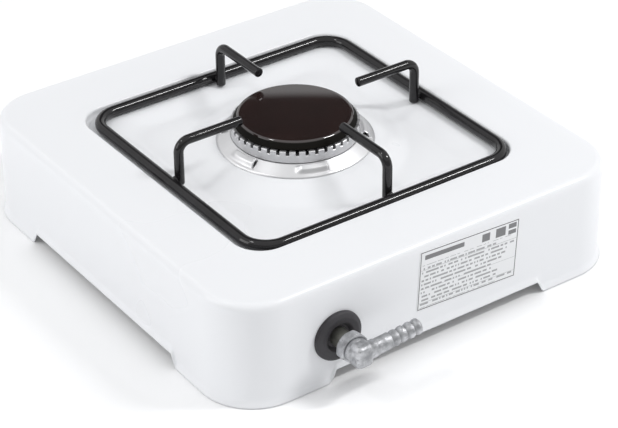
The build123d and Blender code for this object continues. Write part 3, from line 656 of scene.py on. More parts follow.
lift = louvre_rise * lift_along[:, None] * lift_turn
trim_grid = np.stack([trim_r * np.cos(trim_angle), trim_r * np.sin(trim_angle), trim_z + lift], axis=-1)
step_across = np.abs(np.diff(lift, axis=1)) > 1e-6
same_angle = np.diff(trim_angle) < 1e-9
mouth = same_angle & (step_across[:-1] | step_across[1:])
make_piece("louvred_ring", [(trim_grid[::-1], ~mouth[::-1])], "stove_body", "bright_steel", ["trim_ring"],
           crease=40, closed=False, wall=trim_sheet)

# %% [markdown]
# ## The gas inlet
# A thick rubber grommet sits in the rear wall, with the pipe's dark end in the middle of its dish. A
# hexagonal nut holds the elbow, whose ridged tail is made for a gas hose. The grommet is turned. The nut is a
# turned grid too, whose radius is the smaller of a hexagon and of the cones that break its corners.

# %% Grommet
wall_outside = half_depth
grommet_radius = inlet_high[0] - inlet_x
grommet_crown = inlet_high[1]
inlet_place = (inlet_x, 0, gas_height)
pipe_radius = 5.8
inner_flange = 13.5
grommet_play = 0.05
grommet_waist = grommet_hole - grommet_play
side_draft = 0.3
side_height = 2.6
bulge_radius = 12.6
dish_outer = 9.2
dish_inner = 7.4
dish_dip = 0.3
dish_depth = 3.0
dish_floor = grommet_crown - dish_depth
grommet_profile = rounded_line([
    (pipe_radius, inlet_low[1]), (inner_flange, inlet_low[1]), (inner_flange, wall_outside - sheet),
    (grommet_waist, wall_outside - sheet), (grommet_waist, wall_outside), (grommet_radius, wall_outside),
    (grommet_radius - side_draft, wall_outside + side_height), (bulge_radius, grommet_crown),
    (dish_outer, grommet_crown - dish_dip), (dish_inner, dish_floor), (pipe_radius, dish_floor),
    (pipe_radius, inlet_low[1]),
], [0.8, 0.3, 0.2, 0.2, 0.4, 1.6, 2.0, 1.0, 0.8, 0], steps=6)
make_piece("hose_grommet", [laid_along_y(turned(grommet_profile, 72), inlet_place)], "stove_body",
           "black_rubber", ["grommet"], crease=60)

# %% Union nut
nut_low, nut_high = extent("union_nut")
across_flats = 16.8
nut_bore_radius = 7.1
nut_lip_radius = 5.3
nut_lip = 1.8
back_break = 0.9
back_slope = 1.05
front_break = 0.3
front_slope = 1.5
corner_soft = 0.35
nut_lean = math.radians(13)
nut_length = nut_high[1] - nut_low[1]
nut_angle = np.linspace(0, 2 * math.pi, 181)
to_flat = (nut_angle + math.pi / 6) % (math.pi / 3) - math.pi / 6
hexagon = np.minimum(across_flats / 2 / np.cos(to_flat), across_flats / math.sqrt(3) - corner_soft)
nut_rows = np.linspace(0, nut_length, 25)
back_cone = across_flats / 2 - back_break + nut_rows * back_slope
front_cone = across_flats / 2 - front_break + (nut_length - nut_rows) * front_slope
nut_outer = np.minimum(hexagon, np.minimum(back_cone, front_cone)[:, None])
nut_bore = np.full(len(nut_angle), nut_bore_radius)
lip_bore = np.full(len(nut_angle), nut_lip_radius)
shoulder = nut_length - nut_lip
nut_radii = np.concatenate([[nut_bore], nut_outer, [lip_bore], [lip_bore], [nut_bore], [nut_bore]])
nut_z = np.concatenate([[0], nut_rows, [nut_length, shoulder, shoulder, 0]])[:, None]
nut_turn = nut_angle - nut_lean
nut_grid = np.stack([
    nut_radii * np.cos(nut_turn), nut_radii * np.sin(nut_turn), nut_z + 0 * nut_radii
], axis=-1)
make_piece("hexagon_nut", [laid_along_y(nut_grid, (inlet_x, nut_low[1], gas_height))], "stove_body",
           "zinc", ["union_nut"], crease=25)

# %% [markdown]
# The elbow is a die casting: a rounded block where the two arms meet, and a hose tail with a plain stem and
# four rounded ridges that leans up a little. A rounded block is a ball whose eight parts are pulled apart, so
# its grid is a ball's grid with the ends of each quarter repeated. The tail and the neck inside the nut are
# turned, and booleans join the three into one skin.

# %% Elbow block
def rounded_block(half, radius, steps=7):
    """Grid of a block with rounded edges: a ball's points, each moved to its own corner of a smaller block.

    The ends of each quarter turn are repeated, and the flat faces lie between them."""
    swing = np.linspace(0, math.pi / 2, steps)
    tilt = np.concatenate([math.pi / 2 - swing, -swing])[:, None]
    part = np.append(np.repeat(np.arange(4), steps), 0)
    turn = np.append(np.tile(swing, 4), 0.0) + part * math.pi / 2
    side_x = np.where((part == 0) | (part == 3), 1, -1)
    side_y = np.where(part < 2, 1, -1)
    side_z = np.repeat([1, -1], steps)[:, None]
    side = np.stack(np.broadcast_arrays(side_x, side_y, side_z), -1)
    ball = np.stack(np.broadcast_arrays(
        np.cos(tilt) * np.cos(turn), np.cos(tilt) * np.sin(turn), np.sin(tilt)), -1)
    grid = side * (np.asarray(half) - radius) + radius * ball
    poles = np.zeros((2, 1, len(turn), 3))
    poles[..., 2] = np.array([half[2], -half[2]])[:, None, None]
    return np.concatenate([poles[0], grid, poles[1]])


elbow_low, elbow_high = extent("hose_elbow")
block_half = np.array([5.7, 5.4, 7.1])
block_round = 3.2
elbow_place = np.array([inlet_x, elbow_high[1] - block_half[1], gas_height])
elbow = make_piece("cast_elbow", [rounded_block(block_half, block_round) + elbow_place], "elbow", "zinc",
                   ["hose_elbow"], crease=40)

# %% Elbow neck
flange_radius = 6.5
flange_length = 1.3
neck_radius = 5.0
nut_play = 0.05
shoulder_radius = 7.4
shoulder_front_radius = 7.2
shoulder_setback = 2.4
neck_setback = 0.5
flange_front = elbow_low[1] + flange_length
neck_front = nut_high[1] + nut_play
shoulder_front = elbow_place[1] - shoulder_setback
neck_end = elbow_place[1] - neck_setback
neck_profile = rounded_line([
    (0, elbow_low[1]), (flange_radius, elbow_low[1]), (flange_radius, flange_front),
    (neck_radius, flange_front), (neck_radius, neck_front), (shoulder_radius, neck_front),
    (shoulder_front_radius, shoulder_front), (0, neck_end),
], [0.2, 0.2, 0.2, 0.2, 0.5, 1.2], steps=3)
neck = make_piece("elbow_neck", [laid_along_y(turned(neck_profile, 48), inlet_place)], "elbow", "zinc")

# %% Hose tail
tail_length = 40.0
tail_rise = math.radians(4)
collar_radius = 5.2
collar_reach = 9.5
collar_step = 0.5
stem_radius = 4.8
groove_radius = 3.9
ridge_count = 4
ridge_pitch = 5.2
bore_radius = 2.8
bore_depth = 26.0
tip_radius = 3.9
tip_run = 0.8
tip_gap = 0.1
root = 2.0
swell_start = 0.06
swell_share = 0.62
swell_power = 1.5
fall_share = 0.1
ridge_start = tail_length - ridge_count * ridge_pitch
stem = rounded_line([
    (0, root), (collar_radius, root), (collar_radius, collar_reach),
    (stem_radius, collar_reach + collar_step), (stem_radius, ridge_start),
], [0, 0.5, 0.4], steps=5)
along_ridge = np.linspace(0, 1, 17)[1:]
swell = np.sin(np.clip((along_ridge - swell_start) / swell_share, 0, 1) * math.pi / 2) ** swell_power
fall = np.sqrt(np.clip((1 - along_ridge) / fall_share, 0, 1))
ridge = groove_radius + (stem_radius - groove_radius) * swell * fall
ridge_r = np.tile(ridge, ridge_count)
ridge_z = ridge_start + (np.arange(ridge_count)[:, None] + along_ridge).ravel() * ridge_pitch
tip_profile = rounded_line([
    (ridge_r[-3], tail_length - tip_run), (tip_radius, tail_length), (bore_radius, tail_length),
    (bore_radius, tail_length - bore_depth), (0, tail_length - bore_depth),
], [0.5, 0.3, 0.3], steps=4)
before_tip = ridge_z < tail_length - tip_run - tip_gap
arm = turned(np.concatenate([stem, np.column_stack([ridge_r, ridge_z])[before_tip], tip_profile]), 64)
ahead = np.array([-math.cos(tail_rise), 0, math.sin(tail_rise)])
above = np.array([math.sin(tail_rise), 0, math.cos(tail_rise)])
arm = arm @ np.array([above, [0, 1, 0], ahead]) + elbow_place
tail = make_piece("elbow_tail", [arm], "elbow", "zinc", crease=40)

# %% Join the casting
for other in (neck, tail):
    join = elbow.modifiers.new(other.name, "BOOLEAN")
    join.operation = "UNION"
    join.solver = "EXACT"
    join.object = other
bpy.context.view_layer.update()
joined = bpy.data.meshes.new_from_object(elbow.evaluated_get(bpy.context.evaluated_depsgraph_get()))
elbow.modifiers.clear()
elbow.data = joined
for other in (neck, tail):
    bpy.data.objects.remove(other)
print("elbow", len(joined.polygons), "faces in one skin")

# %% [markdown]
# ## The control knob
# The knob is on the front wall, away from the camera, but the part is looked at from all sides. It is a
# moulded disc with a bar grip across it. Its front is a height over a polar grid: the disc with a rounded
# rim, and on it the bar with rounded shoulders. The rim and the hollow back follow as turned rows.

# %% Knob
knob_low, knob_high = extent("knob")
knob_radius = knob_high[0]
knob_back = knob_high[1]
knob_height = knob_high[1] - knob_low[1]
knob_base = 7.0
grip_half_length = 16.3
grip_half_width = 5.5
grip_flare = 0.4
shoulder_width = 1.6
shoulder_power = 0.8
base_edge = 1.6
knob_angle = np.linspace(0, 2 * math.pi, 241)
knob_reach = np.concatenate([np.linspace(0, 0.94, 40), [0.955, 0.97, 0.98, 0.99, 0.996, 1.0]])[:, None]
across_grip = knob_reach * knob_radius * np.cos(knob_angle)
along_grip = knob_reach * knob_radius * np.sin(knob_angle)
past_end = np.maximum(np.abs(along_grip) - (grip_half_length - grip_half_width), 0)
from_spine = np.hypot(across_grip, past_end)
grip_share = np.clip((grip_half_width + grip_flare - from_spine) / shoulder_width, 0, 1)
grip_rise = (knob_height - knob_base) * np.sin(grip_share * math.pi / 2) ** shoulder_power
rim_share = np.clip((1 - knob_reach) * knob_radius / base_edge, 0, 1)
base_rise = knob_base - base_edge * (1 - np.sqrt(1 - (1 - rim_share) ** 2))
knob_front = np.stack([across_grip, along_grip, base_rise + grip_rise], axis=-1)
print("knob front", knob_front.shape)

# %% Knob's hollow back
rim_inner = 16.5
hollow_depth = 4.0
boss_radius = 8.0
socket_radius = 4.6
socket_depth = 18.0
knob_back_profile = rounded_line([
    (knob_radius, knob_base - base_edge), (knob_radius, 0), (rim_inner, 0), (rim_inner, hollow_depth),
    (boss_radius, hollow_depth), (boss_radius, 0), (socket_radius, 0), (socket_radius, socket_depth),
    (0, socket_depth),
], [0.6, 0.4, 0.5, 0.5, 0.4, 0.3, 0], steps=4)
knob_x, knob_z, knob_rise = np.moveaxis(np.concatenate([knob_front, turned(knob_back_profile, 240)]), -1, 0)
knob_grid = np.stack([knob_x, knob_back - knob_rise, knob_z + gas_height], axis=-1)
make_piece("grip_knob", [knob_grid], "control_knob", "black_plastic", ["knob"], crease=55)

# %% [markdown]
# ## The rating label
# The label is a printed film on the rear wall. It carries a border, plain rules, and rows of short bars that
# stand for print. The film itself is a thin rounded plate, and the print is drawn by its material from a UV
# map that covers the front face.

# %% Label
label_low, label_high = extent("rating_label")
label_half = np.array([73.0, 40.0]) / 2
label_turn = math.radians(-3.0)
label_corner = 1.2
film_edge = 0.05
outline = contour(*label_half, label_corner)
label_r = np.array([0 * outline, outline * 0.5, outline - film_edge, outline, outline, 0 * outline])
label_front = label_high[1]
label_y = np.array([[label_front] * 3 + [label_front - film_edge] + [label_low[1]] * 2]).T + 0 * ray
label_u, label_v = label_r * np.cos(ray), label_r * np.sin(ray)
label_x = -label_u * math.cos(label_turn) + label_v * math.sin(label_turn)
label_z = label_u * math.sin(label_turn) + label_v * math.cos(label_turn)
label_middle = (label_low + label_high) / 2
label_grid = np.stack([label_middle[0] + label_x, label_y, label_middle[2] + label_z], axis=-1)
label = make_piece("printed_label", [label_grid], "stove_body", "label_film", ["rating_label"])

# %% Map of the label's face
label_points = np.empty(len(label.data.vertices) * 3, np.float32)
label.data.vertices.foreach_get("co", label_points)
across, _, upward = label_points.reshape(-1, 3).T / METRE - label_middle[:, None]
label_uv = np.stack([
    math.sin(label_turn) * upward - math.cos(label_turn) * across,
    math.sin(label_turn) * across + math.cos(label_turn) * upward,
], axis=-1) / (2 * label_half) + 0.5
label_corners = np.empty(len(label.data.loops), np.int32)
label.data.loops.foreach_get("vertex_index", label_corners)
label.data.uv_layers["UVMap"].data.foreach_set("uv", label_uv[label_corners].astype(np.float32).ravel())
print("label map from", label_uv.min(axis=0).round(3), "to", label_uv.max(axis=0).round(3))

# %% [markdown]
# ## Building blocks for finishes
# A finish is a small node tree round one shader. Effects that finishes share, such as the fine ripple of a
# moulded or fired coat, a slow change of tone, the grain of a casting and the lines of a turned metal, are
# node groups with named sockets. The groups give only masks and heights, and each material keeps its own
# shader.

# %% Node helpers
def add_node(tree, kind, inputs=None, **settings):
    """New node with its settings, and with its inputs either set to a value or linked to a socket."""
    node = tree.nodes.new(kind)
    for key, value in settings.items():
        setattr(node, key, value)
    for key, value in (inputs or {}).items():
        if isinstance(value, bpy.types.NodeSocket):
            tree.links.new(value, node.inputs[key])
        else:
            node.inputs[key].default_value = value
    return node


def maths(tree, operation, *values):
    """Output of a Math node on values or sockets."""
    return add_node(tree, "ShaderNodeMath", dict(enumerate(values)), operation=operation).outputs[0]


def ramp(tree, value, low, high, to_low=0.0, to_high=1.0, shape="LINEAR"):
    """Value carried from one span to another and held within it, evenly or with soft ends."""
    spans = {"Value": value, "From Min": low, "From Max": high, "To Min": to_low, "To Max": to_high}
    return add_node(tree, "ShaderNodeMapRange", spans, interpolation_type=shape).outputs[0]


def noise(tree, place, scale, detail, roughness=0.5):
    """Cloudy noise about a half."""
    values = {"Vector": place, "Scale": scale, "Detail": detail, "Roughness": roughness}
    return add_node(tree, "ShaderNodeTexNoise", values).outputs[0]


def vector_maths(tree, operation, first, second):
    """Vector and value outputs of a Vector Math node."""
    return add_node(tree, "ShaderNodeVectorMath", {0: first, 1: second}, operation=operation).outputs


def axis_parts(tree, place):
    """X, Y and Z of a vector."""
    return add_node(tree, "ShaderNodeSeparateXYZ", {"Vector": place}).outputs


def new_group(name, inputs, outputs):
    """Empty node group with float or vector inputs and float outputs, and its two end nodes."""
    tree = bpy.data.node_groups.new(name, "ShaderNodeTree")
    for socket, (kind, value) in inputs.items():
        made = tree.interface.new_socket(socket, in_out="INPUT", socket_type=kind)
        if value is not None:
            made.default_value = value
    for socket in outputs:
        tree.interface.new_socket(socket, in_out="OUTPUT", socket_type="NodeSocketFloat")
    return tree, tree.nodes.new("NodeGroupInput"), tree.nodes.new("NodeGroupOutput")


VECTOR = ("NodeSocketVector", None)


def number(value):
    """A float socket with a default value."""
    return ("NodeSocketFloat", value)


# %% Shared effects
def ripple_group():
    """Fine ripple of a coat: a broad noise plus a share of a finer one."""
    tree, start, end = new_group(
        "coat_ripple", {"Vector": VECTOR, "Scale": number(300), "Fine share": number(0.3)}, ["Height"])
    place, scale, fine_share = start.outputs[:3]
    broad = noise(tree, place, scale, 2)
    fine = noise(tree, place, maths(tree, "MULTIPLY", scale, 4.3), 2)
    height = maths(tree, "ADD", broad, maths(tree, "MULTIPLY", fine, fine_share))
    tree.links.new(height, end.inputs[0])
    return tree


def tone_group():
    """Slow change of tone: a low noise stretched to run from 0 to 1."""
    sockets = {"Vector": VECTOR, "Scale": number(20), "Low": number(0.35), "High": number(0.65)}
    tree, start, end = new_group("slow_tone", sockets, ["Mask"])
    place, scale, low, high = start.outputs[:4]
    tree.links.new(ramp(tree, noise(tree, place, scale, 4, 0.55), low, high), end.inputs[0])
    return tree


def grain_group():
    """Sandy grain of a casting: rounded cells broken up by a noise."""
    tree, start, end = new_group("cast_grain", {"Vector": VECTOR, "Scale": number(900)}, ["Height", "Pits"])
    place, scale = start.outputs[:2]
    cells = add_node(tree, "ShaderNodeTexVoronoi", {"Vector": place, "Scale": scale}).outputs[0]
    broad = noise(tree, place, maths(tree, "MULTIPLY", scale, 0.45), 3)
    tree.links.new(maths(tree, "ADD", maths(tree, "MULTIPLY", cells, 0.5), broad), end.inputs[0])
    tree.links.new(ramp(tree, broad, 0.55, 0.7), end.inputs[1])
    return tree


def lines_group():
    """Tool lines of a turned surface: a noise of the distance from the Z axis and of the height alone."""
    tree, start, end = new_group("turned_lines", {"Vector": VECTOR, "Scale": number(2500)}, ["Height"])
    x, y, z = axis_parts(tree, start.outputs[0])
    squares = maths(tree, "ADD", maths(tree, "MULTIPLY", x, x), maths(tree, "MULTIPLY", y, y))
    across = add_node(tree, "ShaderNodeCombineXYZ", {"X": maths(tree, "SQRT", squares), "Y": z, "Z": 0.0})
    tree.links.new(noise(tree, across.outputs[0], start.outputs[1], 3, 0.6), end.inputs[0])
    return tree


RIPPLE, TONE, GRAIN, LINES = ripple_group(), tone_group(), grain_group(), lines_group()
print("shared effects:", [group.name for group in (RIPPLE, TONE, GRAIN, LINES)])


# %% Material helpers
def effect(tree, group, vector, **values):
    """Outputs of a shared effect placed in a material, by name."""
    node = tree.nodes.new("ShaderNodeGroup")
    node.node_tree = group
    tree.links.new(vector, node.inputs["Vector"])
    for key, value in values.items():
        node.inputs[key.replace("_", " ")].default_value = value
    return node.outputs


def new_finish(name, **constants):
    """Material with one shader, whose constants are set on its own sockets, and its object coordinates."""
    material = bpy.data.materials.new(name)
    material.use_nodes = True
    tree = material.node_tree
    shader = tree.nodes["Principled BSDF"]
    for key, value in constants.items():
        shader.inputs[key.replace("_", " ")].default_value = value
    place = tree.nodes.new("ShaderNodeTexCoord").outputs["Object"]
    return material, tree, shader, place


def set_colour(tree, shader, mask, low, high):
    """Base colour that runs between two colours by a mask."""
    mix = add_node(tree, "ShaderNodeMix", {"Factor": mask}, data_type="RGBA")
    mix.inputs["A"].default_value = (*low, 1)
    mix.inputs["B"].default_value = (*high, 1)
    tree.links.new(mix.outputs["Result"], shader.inputs["Base Color"])
    return mix.outputs["Result"]


def set_roughness(tree, shader, mask, low, high):
    """Roughness that runs between two values by a mask."""
    tree.links.new(ramp(tree, mask, 0.0, 1.0, low, high), shader.inputs["Roughness"])


def set_bump(tree, shader, height, depth, strength=1.0):
    """Bump of a real depth in metres."""
    bump = add_node(tree, "ShaderNodeBump", {"Height": height, "Strength": strength, "Distance": depth})
    tree.links.new(bump.outputs[0], shader.inputs["Normal"])


# %% [markdown]
# ## The finishes
# White enamel is a fired glass coat: smooth, and almost even in colour, with a soft gloss. The black enamel
# of the wires and the brown-black enamel of the cap are glossier. Each could be one flat colour, but a real
# coat varies a little, so its tone and gloss run between two close values. The cap's top is a clear coat over
# brown, and the coat ends below the brow, where flames have dulled it.

# %% Enamels
glaze_start = cap_top - 1.1
glaze_end = cap_top - 1.7


def white_enamel():
    """Cool white fired coat, smooth, with a slow change of tone and gloss."""
    material, tree, shader, place = new_finish("white_enamel", IOR=1.5)
    tone = effect(tree, TONE, place, Scale=2.2, Low=0.0, High=1.0)["Mask"]
    set_colour(tree, shader, tone, (0.863, 0.873, 0.894), (0.867, 0.877, 0.898))
    set_roughness(tree, shader, tone, 0.27, 0.28)
    return material


def black_enamel():
    """Neutral black glossy coat with a soft ripple."""
    material, tree, shader, place = new_finish("black_enamel", IOR=1.47)
    tone = effect(tree, TONE, place, Scale=90)["Mask"]
    set_colour(tree, shader, tone, (0.008, 0.0075, 0.008), (0.014, 0.013, 0.0145))
    set_roughness(tree, shader, tone, 0.07, 0.12)
    set_bump(tree, shader, effect(tree, RIPPLE, place, Scale=500)["Height"], 0.00004, 0.4)
    return material


def cap_enamel():
    """Brown-black burner cap: its top keeps a clear glaze, and below the brow the flames have dulled it.

    The glaze's weight climbs smoothly from 0 to 1 over a short span of height."""
    material, tree, shader, place = new_finish(
        "cap_enamel", IOR=1.1, Roughness=0.45, Coat_IOR=1.9, Coat_Roughness=0.035)
    tone = effect(tree, TONE, place, Scale=38)["Mask"]
    brown = set_colour(tree, shader, tone, (0.0115, 0.005, 0.0042), (0.017, 0.007, 0.006))
    height = axis_parts(tree, place)[2]
    glaze = ramp(tree, height, glaze_end * METRE, glaze_start * METRE, shape="SMOOTHSTEP")
    tree.links.new(glaze, shader.inputs["Coat Weight"])
    soot = add_node(tree, "ShaderNodeMix", {"Factor": glaze}, data_type="RGBA")
    soot.inputs["A"].default_value = (0.0105, 0.0098, 0.0085, 1)
    tree.links.new(brown, soot.inputs["B"])
    tree.links.new(soot.outputs["Result"], shader.inputs["Base Color"])
    return material


# %% [markdown]
# Bright sheet, cast aluminium, brass, steel, rubber, plastic and fibre differ in colour, gloss and grain, so
# one function with a row of values for each makes them all, at a real scale. The zinc of the nut and the
# elbow has a sandy cast grain too, and the grooves of the tail are painted darker as painted shade for the
# shadow in them. The shade could be painted by hand, but a mask of the distance from the tail's axis follows
# its shape.

# %% Plain finishes and zinc
# How far the painted shade darkens the tail's grooves, and where it starts.
groove_shade_share = 0.62
dull_share = 0.55
groove_edge = 0.15
stem_overlap = 0.5


def plain_finish(name, low, high, rough_low, rough_high, tone_scale, relief, relief_scale, depth, metallic):
    """Metal, rubber, plastic or fibre: a tone between two colours, a gloss that follows it, a fine relief."""
    material, tree, shader, place = new_finish(name, Metallic=metallic)
    tone = effect(tree, TONE, place, Scale=tone_scale)["Mask"]
    set_colour(tree, shader, tone, low, high)
    set_roughness(tree, shader, tone, rough_low, rough_high)
    set_bump(tree, shader, effect(tree, relief, place, Scale=relief_scale)["Height"], depth)
    return material


def zinc():
    """Grey die casting with a sandy grain and dull pits, and painted shade in the grooves of the hose tail.

    A point's distance from the tail's axis is the root of its squared distance from the elbow's middle less
    its squared reach along the tail. Past the stem, the colour darkens from the ridges' radius to the
    grooves' as painted shade for the shadow in them."""
    material, tree, shader, place = new_finish("zinc", Metallic=1.0)
    grain = effect(tree, GRAIN, place, Scale=1500)
    tone = effect(tree, TONE, place, Scale=190)["Mask"]
    spot = vector_maths(tree, "SUBTRACT", place, tuple(elbow_place * METRE))["Vector"]
    reach = vector_maths(tree, "DOT_PRODUCT", spot, tuple(ahead))["Value"]
    square = vector_maths(tree, "DOT_PRODUCT", spot, spot)["Value"]
    off_axis = maths(tree, "SQRT", maths(tree, "SUBTRACT", square, maths(tree, "MULTIPLY", reach, reach)))
    # Painted shade: the tail's grooves are coloured darker to stand for the shadow that falls in them.
    deep = ramp(tree, off_axis, (stem_radius - groove_edge) * METRE, groove_radius * METRE)
    past_stem = maths(tree, "GREATER_THAN", reach, (ridge_start - stem_overlap) * METRE)
    groove_shade = maths(tree, "MULTIPLY", deep, maths(tree, "MULTIPLY", past_stem, groove_shade_share))
    dull = maths(tree, "MULTIPLY", maths(tree, "MAXIMUM", grain["Pits"], tone), dull_share)
    set_colour(tree, shader, maths(tree, "MAXIMUM", dull, groove_shade), (0.60, 0.607, 0.625), (0.12, 0.123, 0.13))
    set_roughness(tree, shader, tone, 0.42, 0.58)
    set_bump(tree, shader, grain["Height"], 0.0002, 0.8)
    return material


# %% [markdown]
# The label is printed in one dark ink. A picture could hold the print, but a bar is only a comparison of the
# UV map with its edges, so nodes draw it, and it stays sharp at any distance.

# %% Printed film
def label_film():
    """White film with a thin border and bars that stand for print: each is a rectangle of the UV map.

    A bar's mask is 1 where both distances from its middle are less than half its size. The thin rows are
    cells of a grid, and a random value for each cell leaves some of them out. Sizes are shares of the label's
    width and height, and a bar is given by its left, right, low and high edge."""
    material, tree, shader, place = new_finish("label_film", Roughness=0.42)
    u, v, _ = axis_parts(tree, add_node(tree, "ShaderNodeUVMap", uv_map="UVMap").outputs[0])

    def within(value, middle, width):
        """Mask of the points within half a width of a middle."""
        distance = maths(tree, "ABSOLUTE", maths(tree, "SUBTRACT", value, middle))
        return maths(tree, "LESS_THAN", distance, width / 2)

    def bar(left, right, low, high):
        """Mask of a rectangle."""
        return maths(tree, "MULTIPLY", within(u, (left + right) / 2, right - left),
                     within(v, (low + high) / 2, high - low))

    def chance(cell_u, cell_v, seed):
        """Random value of a cell."""
        cell = add_node(tree, "ShaderNodeCombineXYZ", {"X": cell_u, "Y": cell_v, "Z": seed})
        return add_node(tree, "ShaderNodeTexWhiteNoise", {"Vector": cell.outputs[0]}).outputs["Value"]

    def either(*masks):
        """Largest of several masks."""
        result = masks[0]
        for mask in masks[1:]:
            result = maths(tree, "MAXIMUM", result, mask)
        return result

    edge_u, edge_v = 0.008, 0.0146
    inner = bar(edge_u * 2, 1 - edge_u * 2, edge_v * 2, 1 - edge_v * 2)
    border = maths(tree, "SUBTRACT", bar(edge_u, 1 - edge_u, edge_v, 1 - edge_v), inner)
    rule_heights = ((0.672, 0.680), (0.352, 0.358), (0.118, 0.126))
    rules = either(*[bar(0.02, 0.98, *heights) for heights in rule_heights])
    head_bars = (
        (0.05, 0.44, 0.845, 0.92), (0.62, 0.70, 0.80, 0.93), (0.76, 0.86, 0.79, 0.94),
        (0.89, 0.97, 0.87, 0.95), (0.89, 0.97, 0.77, 0.84),
    )
    head = either(*[bar(*edges) for edges in head_bars])
    row_count = 15.0
    cell_count = 72.0
    gap_chance = 0.3
    bar_height = 0.46
    shortest_row = 0.72
    row_spread = 0.3
    print_area = (0.03, 0.97, 0.04, 0.76)
    row = maths(tree, "FLOOR", maths(tree, "MULTIPLY", v, row_count))
    in_row = maths(tree, "FRACT", maths(tree, "MULTIPLY", v, row_count))
    word = chance(maths(tree, "FLOOR", maths(tree, "MULTIPLY", u, cell_count)), row, 3.0)
    length = maths(tree, "MULTIPLY_ADD", chance(row, 5.0, 1.0), row_spread, shortest_row)
    inked = within(in_row, 0.5, bar_height)
    print_rows = maths(tree, "MULTIPLY", inked, maths(tree, "GREATER_THAN", word, gap_chance))
    print_rows = maths(tree, "MULTIPLY", print_rows, maths(tree, "LESS_THAN", u, length))
    print_rows = maths(tree, "MULTIPLY", print_rows, bar(*print_area))
    strengths = ((border, 0.9), (rules, 0.45), (head, 0.8), (print_rows, 0.58))
    ink = either(*[maths(tree, "MULTIPLY", mask, strength) for mask, strength in strengths])
    set_colour(tree, shader, ink, (0.85, 0.858, 0.872), (0.03, 0.03, 0.034))
    set_bump(tree, shader, effect(tree, RIPPLE, place, Scale=300)["Height"], 0.00003, 0.5)
    return material


# %% [markdown]
# The rest of the finishes are rows of values: two colours, two roughnesses, the scale of the tone, and the
# relief with its scale and its depth in metres.

# %% All the finishes by slot
metal_values = {
    "bright_steel": ((0.77, 0.77, 0.78), (0.84, 0.84, 0.85), 0.38, 0.46, 40, LINES, 900, 0.00002),
    "cast_aluminium": ((0.66, 0.66, 0.67), (0.76, 0.76, 0.77), 0.42, 0.52, 120, LINES, 1800, 0.00008),
    "brass": ((0.72, 0.54, 0.26), (0.62, 0.43, 0.19), 0.25, 0.42, 90, RIPPLE, 700, 0.00004),
    "dark_pipe": ((0.34, 0.34, 0.31), (0.24, 0.24, 0.215), 0.4, 0.55, 110, RIPPLE, 600, 0.00006),
    "steel": ((0.52, 0.53, 0.55), (0.42, 0.43, 0.45), 0.25, 0.42, 150, RIPPLE, 900, 0.00004),
}
dull_values = {
    "black_rubber": ((0.028, 0.026, 0.03), (0.045, 0.043, 0.048), 0.5, 0.66, 120, RIPPLE, 1200, 0.00006),
    "black_plastic": ((0.02, 0.02, 0.021), (0.03, 0.03, 0.032), 0.34, 0.45, 90, RIPPLE, 1600, 0.00005),
    "fibre": ((0.34, 0.24, 0.15), (0.25, 0.17, 0.10), 0.8, 0.95, 260, RIPPLE, 1400, 0.0001),
}
finishes = {maker.__name__: maker() for maker in (white_enamel, black_enamel, cap_enamel, zinc, label_film)}
for name, values in metal_values.items():
    finishes[name] = plain_finish(name, *values, metallic=1.0)
for name, values in dull_values.items():
    finishes[name] = plain_finish(name, *values, metallic=0.0)
print(len(finishes), "finishes")

# %% [markdown]
# Each new piece takes the finish of its slot, and so does every CAD node that still shows, by the record's
# own list of which node has which slot.

# %% Dress the pieces and the nodes
slot_of = {row["node"]: row["material_slot"] for row in frame["record"]["subparts"]}
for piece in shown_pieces():
    slot = piece["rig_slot"] if "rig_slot" in piece else slot_of[piece["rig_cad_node"]]
    piece.data.materials.clear()
    piece.data.materials.append(finishes[slot])

# %% [markdown]
# ## The studio
# The stove stands on a white floor in a light tent: almost every direction gives the same soft light, so a
# colour comes out about as it is written. Glossy black enamel shows what it mirrors, and so the tent has two
# parts that are not white. A dark opening on the far side makes the cap's top dark below a pale band, and the
# dimmer camera side keeps the wires black and the rear wall a little grey. One narrow bright strip draws the
# thin white line along the wires, a small lamp touches the rim of the cap, and a softbox lights the left
# wall.

# %% Floor
floor_drop = 0.0002
floor_reach = 6.0
floor_glow = 0.08
floor_corners = np.array([(-1, -1, 0), (1, -1, 0), (1, 1, 0), (-1, 1, 0)]) * floor_reach - (0, 0, floor_drop)
floor_mesh = bpy.data.meshes.new("floor")
floor_mesh.from_pydata(floor_corners.tolist(), [], [(0, 1, 2, 3)])
floor = bpy.data.objects.new("floor", floor_mesh)
bpy.context.scene.collection.objects.link(floor)
floor_paint = bpy.data.materials.new("floor_paint")
floor_paint.use_nodes = True
tree = floor_paint.node_tree
shader = tree.nodes["Principled BSDF"]
shader.inputs["Base Color"].default_value = (0.93, 0.933, 0.94, 1)
shader.inputs["Roughness"].default_value = 0.9
light_path = tree.nodes.new("ShaderNodeLightPath")
seen = maths(tree, "MAXIMUM", light_path.outputs["Is Camera Ray"], light_path.outputs["Is Glossy Ray"])
seen = maths(tree, "MAXIMUM", seen, light_path.outputs["Is Transmission Ray"])
glow = add_node(tree, "ShaderNodeEmission", {"Strength": maths(tree, "MULTIPLY", seen, floor_glow)})
both = add_node(tree, "ShaderNodeAddShader", {0: shader.outputs[0], 1: glow.outputs[0]})
tree.links.new(both.outputs[0], tree.nodes["Material Output"].inputs["Surface"])
floor.data.materials.append(floor_paint)
print("floor", 2 * floor_reach, "m wide")

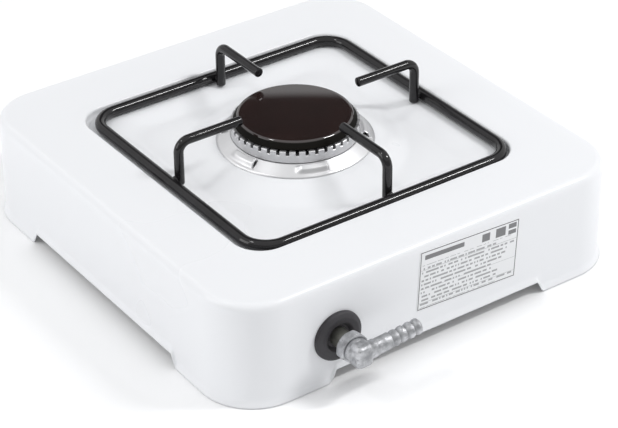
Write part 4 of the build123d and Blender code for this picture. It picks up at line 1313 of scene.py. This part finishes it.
# %% Light tent
room = bpy.data.worlds.new("room")
room.use_nodes = True
bpy.context.scene.world = room
tree = room.node_tree
direction = tree.nodes.new("ShaderNodeTexCoord").outputs["Generated"]
height = axis_parts(tree, direction)[2]
towards_camera = (math.sin(azimuth), -math.cos(azimuth), 0)
camera_side = vector_maths(tree, "DOT_PRODUCT", direction, towards_camera)["Value"]
sideways = vector_maths(tree, "DOT_PRODUCT", direction, tuple(level))["Value"]


def rise(value, low, high):
    """Mask that climbs smoothly from 0 at the first value to 1 at the second."""
    return ramp(tree, value, low, high, shape="SMOOTHSTEP")


opening_back = (-0.25, -0.4)
opening_foot = (0.450, 0.472)
opening_head = (0.9, 0.82)
opening_side = (0.36, 0.24)
dim_front = (0.15, 0.45)
dim_head = (0.6, 0.45)
tent_light = 0.80
opening_light = 0.04
dim_light = 0.39
opening = maths(tree, "MULTIPLY", rise(camera_side, *opening_back), rise(height, *opening_foot))
opening = maths(tree, "MULTIPLY", opening, rise(height, *opening_head))
opening = maths(tree, "MULTIPLY", opening, rise(maths(tree, "ABSOLUTE", sideways), *opening_side))
dim_side = maths(tree, "MULTIPLY", rise(camera_side, *dim_front), rise(height, *dim_head))
light = maths(tree, "MULTIPLY_ADD", opening, opening_light - tent_light, tent_light)
light = maths(tree, "MULTIPLY_ADD", dim_side, dim_light - tent_light, light)
backdrop = tree.nodes["Background"]
backdrop.inputs["Color"].default_value = (0.99, 0.994, 1.0, 1)
tree.links.new(light, backdrop.inputs["Strength"])
print("tent", tent_light, "opening", opening_light, "camera side", dim_light)


# %% Lamps
def softbox(name, place, length, width, power):
    """Flat lamp at a place in metres, turned to face the stove, with its length square to the Y axis."""
    data = bpy.data.lights.new(name, "AREA")
    data.shape = "RECTANGLE"
    data.size = length
    data.size_y = width
    data.energy = power
    lamp = bpy.data.objects.new(name, data)
    bpy.context.scene.collection.objects.link(lamp)
    away = np.array(place) / np.linalg.norm(place)
    aside = np.cross((0, 1, 0), away)
    aside /= np.linalg.norm(aside)
    over = np.cross(away, aside)
    lamp.matrix_world = Matrix([[aside[i], over[i], away[i], place[i]] for i in range(3)] + [[0, 0, 0, 1]])
    print(name, power, "W")


softbox("strip_lamp", (-0.774, 0.681, 1.223), 0.45, 0.11, 8.5)
softbox("rim_lamp", (0.76, -0.18, 1.39), 0.15, 0.15, 1.6)
softbox("left_softbox", (1.6, -0.5, 0.8), 1.0, 1.0, 7.0)
